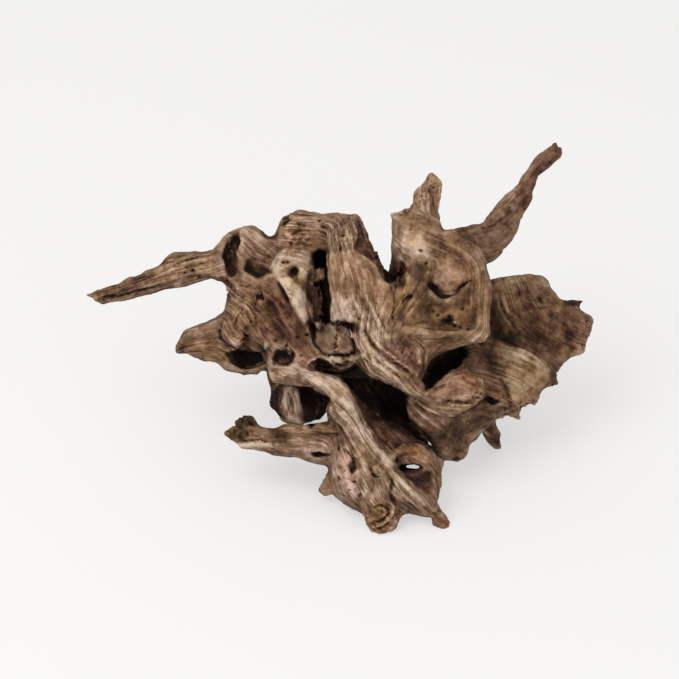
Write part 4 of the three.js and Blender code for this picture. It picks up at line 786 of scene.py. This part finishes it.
patch([(62, -116), (70, -118), (73, -122), (68, -127), (63, -124)], 1.6, rosy=0.9, ochre=0.6,
      dark=0.3, frayed=0.8)
mark([(58, -116), (63, -115), (67, -113)], 2.4, 1.4, taper=0.1)
spot((69, -122), (4.5, 4.0), deep=-1.6)

# The twig arm is a thin frayed side root that points left from the front root.
pull((-76, -62), (8, 7), (-1, 0))
pull((-36, -57), (14, 6), (0, 2))
pull((-18, -56), (12, 6), (0, 1.2))
grain((-76, -64), (-60, -64), (-40, -62), (-20, -60), (-4, -60))
grain((-72, -70), (-50, -70), (-30, -70), (-12, -72))
grain((-16, -57), (-4, -57))
patch([(-78, -62), (-70, -56), (-60, -54), (-56, -60), (-62, -66), (-72, -66)], 2, mossy=0.6,
      dark=0.42, frayed=1.0)
patch([(-73, -50), (-60, -49), (-56, -57), (-66, -58)], 1.8, dark=0.66, frayed=1.0, mossy=0.5)
mark([(-71, -69), (-62, -70), (-50, -70), (-44, -71)], 2.8, -1.8, pale=1.0)
patch([(-70, -66), (-58, -67), (-46, -68), (-46, -73), (-60, -73), (-70, -71)], 2, pale=1.0)
mark([(-74, -66), (-64, -67), (-52, -66)], 1.2, 2.0, dark=0.9)
mark([(-60, -62), (-54, -65), (-50, -68)], 1.2, 1.6, dark=0.9)
mark([(-66, -58), (-62, -62), (-58, -63)], 1.2, 1.4, dark=0.8)
patch([(-48, -58), (-38, -57), (-32, -64), (-38, -70), (-44, -66)], 3, dark=0.55, mossy=0.3)
patch([(-16, -55), (-3, -55), (-3, -61), (-14, -61)], 1.8, ochre=0.9)
stranded([(-30, -59), (-18, -58), (-4, -57)],
         [(-34, -72), (-20, -74), (-10, -76)], 0.6, 0.05)
mark([(-16, -62), (-8, -62), (0, -62)], 1.1, 1.3, dark=0.6)
mark([(-30, -63), (-28, -66), (-26, -64)], 1.3, -0.8, pale=0.8)
patch([(-30, -66), (-8, -64), (-4, -72), (-10, -80), (-30, -77)], 3, rosy=0.5, pale=0.5)
mark([(-50, -60), (-36, -60), (-22, -59)], 1.2, 1.1, dark=0.6)

# The fans on the right are two thin flared buttresses. The upper one is mottled, the lower one pale
# with fine rays, and a blunt pale burl lies in front of them under a black cave.
for place, size, move in (
    ((158, 27), (9, 5), (3, 1.5)), ((153, 28), (6, 6), (0, 2)), ((132, 41), (14, 8), (2, 1)),
    ((119, 44), (10, 7), (0, -1.2)), ((160, -5), (10, 9), (2.5, -3)), ((169, 13), (6, 7), (-1, 0)),
    ((143, -28), (8, 8), (2.5, -1.5)), ((109, -67), (5, 7), (-2.2, 0)), ((88, -71), (9, 7), (-1, 1.2)),
):
    pull(place, size, move)
grain((104, 38), (108, 20), (110, 4), (112, -6))
grain((118, 44), (124, 28), (134, 14), (148, 4), (158, 0))
grain((112, 30), (122, 12), (136, -2), (146, -10))
grain((134, 38), (146, 26), (158, 16), (166, 10))
grain((100, -8), (112, -7), (124, -10), (137, -18))
grain((100, -14), (114, -17), (126, -21), (136, -26))
grain((100, -22), (112, -32), (120, -44))
grain((84, -10), (94, -12), (104, -16))
grain((66, -54), (84, -60), (98, -54), (110, -48))
grain((64, -66), (78, -72), (84, -78))
grain((50, -44), (62, -50), (78, -52))
grain((54, -54), (62, -60), (68, -66))
grain((60, -34), (70, -28), (82, -26), (92, -34))
grain((62, -38), (74, -38), (90, -40))
patch([(101, 40), (120, 43), (134, 42), (146, 27), (160, 18), (166, 8), (160, -6), (146, -14),
       (128, -8), (112, 0), (101, 0)], 4, mossy=0.25, dark=0.13, smooth=0.7)
# Painted shade on the upper fan's strip beside the head and along its lower edge, where it passes
# behind the lower fan; the rosy tint is the wood's own.
patch([(99, 40), (105, 38), (108, 20), (110, 4), (118, -2), (112, -5), (100, -1)], 4, dark=0.4,
      rosy=0.5)
patch([(112, 4), (122, 0), (132, -4), (144, -12), (150, -6), (140, 4), (126, 8)], 3.5, dark=0.5,
      rosy=0.4)
patch([(138, 18), (148, 20), (150, 12), (140, 10)], 3, dark=0.4, deep=0.8)
patch([(112, 22), (122, 16), (130, 10), (126, 4), (114, 10)], 4, dark=0.32, deep=0.6)
patch([(148, 22), (164, 16), (164, 2), (156, -8), (144, -2), (146, 10)], 4, dark=0.5, rosy=0.7)
for blot in ((118, 30), (126, 22), (134, 28), (122, 8), (142, 8), (130, 14), (152, 8), (146, -4),
             (116, 18)):
    spot(blot, (8, 5), turn=50, dark=0.5, rosy=0.8)
stranded([(112, 42), (109, 30), (110, 18)],
         [(136, 38), (138, 28), (138, 18)], 0.6, 0)
mark([(106, 34), (108, 22), (114, 12), (120, 4)], 1.8, 1.2, dark=0.4)
mark([(108, 30), (112, 20), (120, 14)], 2.2, -1.2, pale=0.3, ochre=0.3)
mark([(120, 28), (130, 22), (140, 22)], 1.6, 0.9, dark=0.3)
mark([(126, 16), (136, 8), (146, 6)], 1.8, -1.0, pale=0.2, ochre=0.3)
stranded([(150, 16), (158, 13), (165, 12)],
         [(146, -4), (154, -6), (160, -4)], 0.9, 0.1)
patch([(146, 33), (166, 33), (168, 23), (150, 24)], 1.6, dark=1.0, rosy=0.8)
patch([(162, 18), (170, 16), (168, 2), (162, -8), (156, -8), (162, 0), (164, 10)], 2, frayed=0.7)
patch([(108, -5), (124, -8), (136, -15), (138, -24), (132, -32), (120, -42), (112, -40),
       (106, -24)], 8, pale=0.8, ochre=0.45, mossy=0.4, smooth=0.6)
patch([(78, -8), (100, -3), (108, -8), (104, -24), (98, -22), (86, -18)], 8, dark=0.4, rosy=0.6,
      smooth=0.7)
patch([(124, -34), (136, -29), (144, -30), (146, -18), (139, -20)], 2, dark=0.4, mossy=0.5)
mark([(108, -4), (118, -5), (128, -10), (136, -15), (139, -22), (136, -28)], 1.6, -1.1, pale=0.6)
stranded([(108, -8), (122, -11), (135, -17)],
         [(106, -24), (118, -32), (126, -37)], 0.6, 0.1)
mark([(103, -20), (108, -28), (112, -36), (114, -44)], 1.8, 1.4, dark=0.35)
patch([(98, -38), (104, -39), (108, -42), (100, -43)], 1.6, deep=1.2, dark=0.6)
mark([(97, -36), (102, -37), (108, -40)], 1.2, -1.0, rosy=0.5, pale=0.3)
spot((108, -41), (4.4, 4.6), deep=-1.4, pale=0.3, mossy=0.3)
patch([(96, -32), (106, -30), (108, -38), (100, -38)], 2.5, rosy=0.6, dark=0.1)
mark([(110, -45), (116, -44), (119, -48)], 1.1, 1.4, dark=0.7)
patch([(108, -46), (122, -43), (132, -37), (144, -28), (148, -18), (150, -24), (146, -34),
       (120, -56), (106, -54)], 2, frayed=1.0, dark=0.15)
patch([(66, -58), (78, -50), (92, -44), (108, -46), (98, -56), (86, -66), (84, -78), (72, -76),
       (62, -68)], 3.0, dark=0.45, mossy=0.2, smooth=0.9)
# A painted highlight strip on the lower facet.
patch([(86, -68), (96, -60), (94, -57), (84, -63)], 1.8, pale=0.6)
patch([(72, -68), (80, -66), (84, -74), (76, -76)], 2.5, pale=0.12, rosy=0.2)
spot((78, -79), (4.0, 2.2), dark=1.0, deep=1.0)
# The black in the cave under the head's rim is painted shade.
patch([(57, -26), (64, -16), (74, -8), (82, -9), (80, -16), (72, -22), (64, -28), (58, -33)], 1.8,
      deep=2.2, dark=1.0)
patch([(57, -35), (64, -29), (74, -21), (84, -20), (90, -27), (95, -34), (90, -40), (78, -40),
       (66, -40)], 2.4, deep=-1.8, pale=0.3, ochre=0.3, rosy=0.7, smooth=0.9)
patch([(78, -21), (84, -20), (92, -28), (94, -34), (86, -34), (80, -28)], 3, ochre=1.0, dark=0.3,
      frayed=0.6)
stranded([(60, -36), (70, -28), (82, -24)], [(66, -39), (78, -39), (90, -38)], 0.7, 0.1)
mark([(58, -36), (66, -32), (76, -30)], 1.1, 0.8, dark=0.3)
mark([(66, -37), (74, -35), (84, -36)], 1.1, 0.8, dark=0.35)
mark([(80, -22), (84, -28), (92, -30)], 1.4, 1.0, dark=0.35, ochre=0.6)
for pit in ((92, -31), (90, -35), (93, -35), (88, -38), (91, -38), (86, -40)):
    spot(pit, (1.8, 1.2), deep=1.2, dark=0.7, ochre=0.8)
mark([(70, -40), (76, -40.5), (84, -42), (90, -41)], 1.6, 1.2, dark=0.4)
mark([(70, -42), (80, -43.5), (89, -43)], 1.4, -1.2, pale=0.7, ochre=0.5)
patch([(66, -43), (78, -44), (84, -44), (78, -50), (68, -48)], 2, pale=0.55)
patch([(46, -42), (56, -44), (68, -50), (78, -51), (68, -59), (56, -60), (50, -52)], 3, rosy=0.8,
      pale=0.35)
mark([(46, -37), (56, -44), (66, -49), (78, -51)], 2.0, -1.5, pale=0.6)
stranded([(50, -44), (60, -49), (72, -53)],
         [(52, -56), (60, -59), (68, -60)], 0.9, 0.2)
spot((56, -50), (3.0, 2.2), turn=-30, deep=-1.0, pale=0.4)
patch([(97, -60), (105, -52), (107, -66), (106, -72), (102, -68)], 1.8, dark=0.45, rosy=0.5)

# The branch behind the head runs up and right to a torn tip, plain brown with dark streaks.
for place, size, move in (
    ((126, 108), (14, 20), (-1.5, 1)), ((144, 129), (8, 8), (1, 0.5)), ((125, 94), (10, 16), (3, 0)),
    ((132, 122), (9, 12), (-2, 0)), ((100, 55), (8, 8), (1.5, 1)),
):
    pull(place, size, move)
grain((72, 74), (86, 76), (102, 80), (118, 94), (130, 110), (144, 130))
grain((90, 64), (106, 68), (122, 86), (134, 104), (146, 122))
patch([(70, 76), (100, 79), (112, 92), (126, 112), (140, 132), (150, 130), (150, 118), (136, 100),
       (122, 78), (108, 58), (90, 58)], 3, dark=0.23, rosy=0.4, smooth=0.9)
patch([(112, 92), (126, 112), (140, 134), (152, 134), (150, 118), (136, 100), (124, 86)], 6, dark=0.5,
      rosy=0.8)
patch([(70, 75), (84, 77), (92, 66), (86, 58)], 4, dark=0.4)
mark([(84, 75), (100, 76), (114, 86)], 1.8, 1.0, dark=0.35)
mark([(98, 82), (112, 92), (126, 110), (140, 128)], 1.6, -0.8, rosy=0.6, pale=0.15)
mark([(100, 62), (114, 76), (128, 94), (140, 112)], 1.8, -0.7, rosy=0.5)
mark([(128, 104), (136, 114), (144, 124)], 1.5, 1.0, dark=0.4)
patch([(140, 130), (150, 134), (152, 124), (144, 120)], 2, frayed=1.0, rosy=0.4, pale=0.1)

# Fibres are what water leaves standing when it wears the soft early wood away. Their direction is
# spread from the lines above over the whole skin, and two lengths are worked out on it, one along
# the fibres and one across them, which the relief and the material both read.
FACING_AWAY = -0.12
GUIDE_SOFT = 25.0
LEAST_ALIKE = 0.03
FAR_SIDE = 0.2
BATCH = 4000
marks = np.array(guides, np.float32)
at, run, up = marks[:, :3], marks[:, 3:6], marks[:, 6:]
way = np.zeros((count, 3))
for start in range(0, count, BATCH):
    piece = slice(start, start + BATCH)
    place = skin[piece].astype(np.float32)
    gap = (place ** 2).sum(1)[:, None] + (at ** 2).sum(1)[None] - 2 * place @ at.T
    alike = np.clip(normal[piece].astype(np.float32) @ up.T, LEAST_ALIKE, 1)
    way[piece] = (alike / (gap + GUIDE_SOFT) ** 2) @ run
way = unit(way)
for _ in range(2):
    way = eased(way - normal * (way * normal).sum(1, keepdims=True), 4)
way = unit(way - normal * (way * normal).sum(1, keepdims=True))
aside = np.cross(normal, way)

front = normal[:, 2] > FACING_AWAY
kept = links[front[links[:, 0]] == front[links[:, 1]]]
ROUNDS = 700
SETTLED = 1e-6


def spread_out(direction):
    """The length on the skin that grows most evenly along a direction, by conjugate gradients."""
    a, b = kept.T
    wish = ((skin[b] - skin[a]) * (direction[a] + direction[b]) * 0.5).sum(1)
    weight = 1.0 / np.maximum(np.bincount(kept.ravel(), minlength=count), 1)
    answer = np.zeros(count)
    left = np.bincount(b, wish, count) - np.bincount(a, wish, count)
    eager = left * weight
    push = eager
    power = left @ eager
    for _ in range(ROUNDS):
        change = push[b] - push[a]
        pulled = np.bincount(b, change, count) - np.bincount(a, change, count)
        step = power / max(push @ pulled, 1e-12)
        answer += step * push
        left = left - step * pulled
        eager = left * weight
        fresh = left @ eager
        push = eager + push * (fresh / power)
        power = fresh
        if power < SETTLED:
            break
    return answer


FAR_FIBRES, FAR_LAYER = 500.0, 50.0
along = spread_out(way)
across = spread_out(aside) + np.where(front, 0, FAR_FIBRES)

# The pitches, lengths and heights of the worn strands and furrows, and those of the swellings.
STRAND_PITCH, STRAND_LENGTH = 6.5, 46
FURROW_PITCH, FURROW_LENGTH = 3.2, 26
SWELL_SIZE, LUMP_SIZE, VIGOUR_SIZE, TORN_SIZE = 17, 6, 24, 2.6
STRAND_HEIGHT, FURROW_HEIGHT = 0.75, 0.5
SWELL_HEIGHT, LUMP_HEIGHT = 1.3, 0.7
strand, furrow, swell, lumps, vigour, torn = (np.empty(count) for _ in range(6))
for k in range(count):
    a, c = along[k], across[k]
    here = Vector(skin[k])
    strand[k] = noise.noise((c / STRAND_PITCH, a / STRAND_LENGTH, 3.1))
    furrow[k] = noise.noise((c / FURROW_PITCH, a / FURROW_LENGTH, 7.7))
    swell[k] = noise.noise(here / SWELL_SIZE)
    lumps[k] = noise.noise(here / LUMP_SIZE)
    vigour[k] = noise.noise(here / VIGOUR_SIZE + Vector((40, 0, 0)))
    torn[k] = noise.noise(here / TORN_SIZE)
ridged = 1 - 2 * np.abs(strand) ** 0.7
fine = 1 - 2 * np.abs(furrow) ** 0.8
calm = 1 - 0.75 * tint["smooth"]
strength = np.clip(0.5 + 1.0 * vigour, 0.1, 1.1) * calm + 0.8 * tint["strands"]
relief += strength * (
    STRAND_HEIGHT * (ridged - ridged.mean()) + FURROW_HEIGHT * (fine - fine.mean())
)
relief += SWELL_HEIGHT * swell + LUMP_HEIGHT * lumps
# The far side is finished in the same tones, in broad drifts.
hidden = np.clip(FAR_SIDE - normal[:, 2], 0, 1)
tint["pale"] = np.maximum(tint["pale"], hidden * np.clip(0.4 + 0.8 * swell, 0, 0.6))
tint["rosy"] = np.maximum(tint["rosy"], hidden * np.clip(1.8 * vigour, 0, 0.7))
relief += tint["frayed"] * (1.3 * furrow + 1.6 * torn + 0.8 * wander)
skin = skin + unit(eased(normal, 2)) * relief[:, None]
skin[:, 2] += raised_up
normal = outward(skin)

# Light and shade are painted into the colour in two ways: painted shade darkens the hollows, where
# little of the sky is seen, and painted highlight makes the crests pale and the creases between them
# darker.
SKY_RAYS = 12
SKY_REACH = 42.0
SKY_START = 0.6
CREST_HEIGHT = 0.9
surface = BVHTree.FromPolygons(skin.tolist(), quads.tolist())
turn = np.arange(SKY_RAYS) * math.pi * (3 - math.sqrt(5))
height = (np.arange(SKY_RAYS) + 0.5) / SKY_RAYS
flat = np.sqrt(1 - height ** 2)
rays = np.stack([flat * np.cos(turn), flat * np.sin(turn), height], 1)
helper = np.where(np.abs(normal[:, :1]) < 0.8, [[1.0, 0, 0]], [[0, 1.0, 0]])
side = unit(np.cross(normal, helper))
other = np.cross(normal, side)
hollow = np.zeros(count)
soft_normal = unit(eased(normal, 1))
for k in range(0, count, 2):
    origin = skin[k] + soft_normal[k] * SKY_START
    blocked = 0.0
    for x, y, z in rays:
        hit = surface.ray_cast(origin, side[k] * x + other[k] * y + normal[k] * z, SKY_REACH)
        if hit[0] is not None:
            blocked += 1 - hit[3] / SKY_REACH
    hollow[k] = blocked / SKY_RAYS
known = np.zeros(count)
known[::2] = 1
hollow = eased(hollow * known, 3) / np.maximum(eased(known, 3), 1e-6)
wide_form = eased(skin, 10)
crest_shading = ((skin - wide_form) * normal).sum(1)
crest_shading = np.clip(crest_shading / CREST_HEIGHT, -1, 1)

place = from_face(skin)
place[:, 2] = np.maximum(place[:, 2], 0)
closed.vertices.foreach_set("co", (place * MM).astype(np.float32).ravel())


def store(name, values):
    """Keeps one value a vertex on the mesh for the material to read."""
    layer = closed.attributes.new(name, "FLOAT", "POINT")
    layer.data.foreach_set("value", values.astype(np.float32))


for name in PAINTED:
    store(name, np.clip(tint[name], 0, 1))
store("hollow", hollow)
store("crest_shading", crest_shading)
fibre = closed.attributes.new("fibre", "FLOAT_VECTOR", "POINT")
fibre_values = np.stack([along, across, np.where(front, 0.0, FAR_LAYER)], 1)
fibre.data.foreach_set("vector", fibre_values.astype(np.float32).ravel())
closed.update()
TRIANGLES = 196000
fewer = wood.modifiers.new("even_out", "DECIMATE")
fewer.ratio = TRIANGLES / (2 * len(quads))
fewer.use_collapse_triangulate = True
spare = closed
closed = bpy.data.meshes.new_from_object(wood.evaluated_get(bpy.context.evaluated_depsgraph_get()))
wood.modifiers.clear()
wood.data = closed
bpy.data.meshes.remove(spare)
closed.name = "driftwood_skin"
for polygon in closed.polygons:
    polygon.use_smooth = True

# The finish is bare bleached wood: a dull tan-brown that turns pinkish, ochre or olive in places,
# streaked along its fibres and dark in its cracks. Painted highlight makes its crests pale and painted
# shade darkens its hollows.
bare = bpy.data.materials.new("bleached_wood")
bare.use_nodes = True
tree = bare.node_tree
shader = tree.nodes["Principled BSDF"]


def part(kind, feeds=None, **settings):
    """One node of the material, with its settings and what feeds its sockets."""
    made = tree.nodes.new(kind)
    for key, value in settings.items():
        setattr(made, key, value)
    for socket, source in (feeds or {}).items():
        if isinstance(source, bpy.types.NodeSocket):
            tree.links.new(source, made.inputs[socket])
        else:
            made.inputs[socket].default_value = source
    return made


def value_of(name):
    """A value kept on the mesh."""
    return part("ShaderNodeAttribute", attribute_name=name).outputs["Fac"]


def sums(kind, first, second=0.0):
    """One step of arithmetic on two values."""
    return part("ShaderNodeMath", {0: first, 1: second}, operation=kind).outputs[0]


def fit(source, low, high, start=0.0, end=1.0):
    """A value moved from one range to another, and kept inside it."""
    feeds = {"Value": source, "From Min": low, "From Max": high, "To Min": start, "To Max": end}
    return part("ShaderNodeMapRange", feeds, interpolation_type="SMOOTHSTEP").outputs["Result"]


def streaks(length, pitch, detail, offset=0.0):
    """Noise drawn out along the fibres, a length and a pitch in millimetres."""
    stretched = part("ShaderNodeMapping", {
        "Vector": part("ShaderNodeAttribute", attribute_name="fibre").outputs["Vector"],
        "Location": (offset, offset, 0.0),
        "Scale": (1 / length, 1 / pitch, 1.0),
    })
    return part("ShaderNodeTexNoise", {
        "Vector": stretched.outputs[0], "Scale": 1.0, "Detail": detail, "Roughness": 0.55,
    }).outputs["Fac"]


def clouds(size, detail=3.0, offset=0.0):
    """Noise in the round, a size in millimetres."""
    where = part("ShaderNodeMapping", {
        "Vector": part("ShaderNodeTexCoord").outputs["Object"],
        "Location": (offset, offset, offset),
    }).outputs[0]
    return part("ShaderNodeTexNoise", {
        "Vector": where, "Scale": 1000 / size, "Detail": detail, "Roughness": 0.6,
    }).outputs["Fac"]


def over(under, tone, amount):
    """A colour with a tone glazed over it by an amount."""
    mixed = part("ShaderNodeMix", {"Factor": amount}, data_type="RGBA", blend_type="MULTIPLY")
    below, above = (s for s in mixed.inputs if s.type == "RGBA")
    tree.links.new(under, below)
    above.default_value = (*tone, 1)
    return next(s for s in mixed.outputs if s.type == "RGBA")


BLEACH = (
    (0.00, (0.009, 0.005, 0.003)),
    (0.18, (0.030, 0.015, 0.009)),
    (0.38, (0.087, 0.046, 0.027)),
    (0.58, (0.177, 0.107, 0.065)),
    (0.78, (0.300, 0.213, 0.152)),
    (1.00, (0.500, 0.400, 0.320)),
)
CRACK_WIDTH = 0.016
CREST_SPAN = 0.9
SHADE = 0.41
ROSY = (1.05, 0.91, 0.97)
OCHRE = (1.07, 0.94, 0.70)
OLIVE = (0.93, 0.97, 0.70)

broad = clouds(48)
middle = clouds(15, 4.0, 0.31)
warm = clouds(30, 4.0, 0.77)
green = clouds(26, 3.0, 0.53)
small = clouds(5, 3.0, 0.44)
speck = clouds(2.4, 2.0, 0.19)
long_streaks = streaks(38, 2.4, 3.0)
fine_streaks = streaks(15, 1.15, 4.0, 31.0)
split = streaks(30, 3.8, 1.0, 77.0)
crack = fit(sums("ABSOLUTE", sums("SUBTRACT", split, 0.5)), 0.0, CRACK_WIDTH, 1.0, 0.0)
crack = sums("MULTIPLY", crack, fit(broad, 0.46, 0.62))
crack = sums("MULTIPLY", crack, fit(value_of("smooth"), 0.0, 0.6, 1.0, 0.0))
vivid = fit(clouds(22, 3.0, 0.91), 0.38, 0.62, 0.3, 1.0)
vivid = sums("MULTIPLY", vivid, fit(value_of("smooth"), 0.0, 1.0, 1.0, 0.4))

light = fit(broad, 0.3, 0.7, 0.38, 0.56)
# The crest row paints highlight on the crests and shade in the creases between them.
for source, low, high, weight in (
    (middle, 0.3, 0.7, 0.22),
    (small, 0.3, 0.7, 0.16),
    (value_of("pale"), 0.0, 1.0, 0.36),
    (speck, 0.3, 0.7, 0.10),
    (value_of("crest_shading"), -CREST_SPAN, CREST_SPAN, 0.36),
):
    light = sums("ADD", light, fit(source, low, high, 0.0, weight))
light = sums("SUBTRACT", light, SHADE)
boldness = sums("ADD", vivid, sums("MULTIPLY", value_of("strands"), 0.65))
for source, low, high, weight in ((long_streaks, 0.28, 0.72, 0.24), (fine_streaks, 0.3, 0.7, 0.28)):
    swing = fit(source, low, high, -weight / 2, weight / 2)
    light = sums("ADD", light, sums("MULTIPLY", swing, boldness))
# The hollow row is painted shade where little of the sky is seen; the dark row holds dark marks, some
# of them painted shade.
for source, low, high, weight in (
    (value_of("hollow"), 0.16, 0.70, 0.30),
    (value_of("dark"), 0.0, 1.0, 0.48),
    (crack, 0.0, 1.0, 0.18),
):
    light = sums("SUBTRACT", light, fit(source, low, high, 0.0, weight))
light = sums("SUBTRACT", light, fit(speck, 0.34, 0.24, 0.0, 0.2))
ramp = part("ShaderNodeValToRGB", {"Fac": light})
steps = ramp.color_ramp.elements
while len(steps) < len(BLEACH):
    steps.new(0.5)
for step, (height, shade) in zip(steps, BLEACH):
    step.position = height
    step.color = (*shade, 1)
colour = ramp.outputs["Color"]
for tone, painted, drift, low, high in (
    (ROSY, "rosy", middle, 0.5, 0.72),
    (OCHRE, "ochre", warm, 0.46, 0.66),
    (OLIVE, "mossy", green, 0.54, 0.76),
):
    amount = sums("MAXIMUM", value_of(painted), fit(drift, low, high, 0.0, 0.6))
    colour = over(colour, tone, amount)
tree.links.new(colour, shader.inputs["Base Color"])
shader.inputs["Roughness"].default_value = 0.82
shader.inputs["Specular IOR Level"].default_value = 0.12

raised = sums("MULTIPLY", long_streaks, 1.5)
for source, height in ((fine_streaks, 0.8), (crack, -0.6), (clouds(2.2), 0.6)):
    raised = sums("ADD", raised, sums("MULTIPLY", source, height))
bump = part("ShaderNodeBump", {"Height": raised, "Strength": 0.9, "Distance": 1.0 * MM})
tree.links.new(bump.outputs["Normal"], shader.inputs["Normal"])
closed.materials.append(bare)

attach(wood, "root")
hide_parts("driftwood")
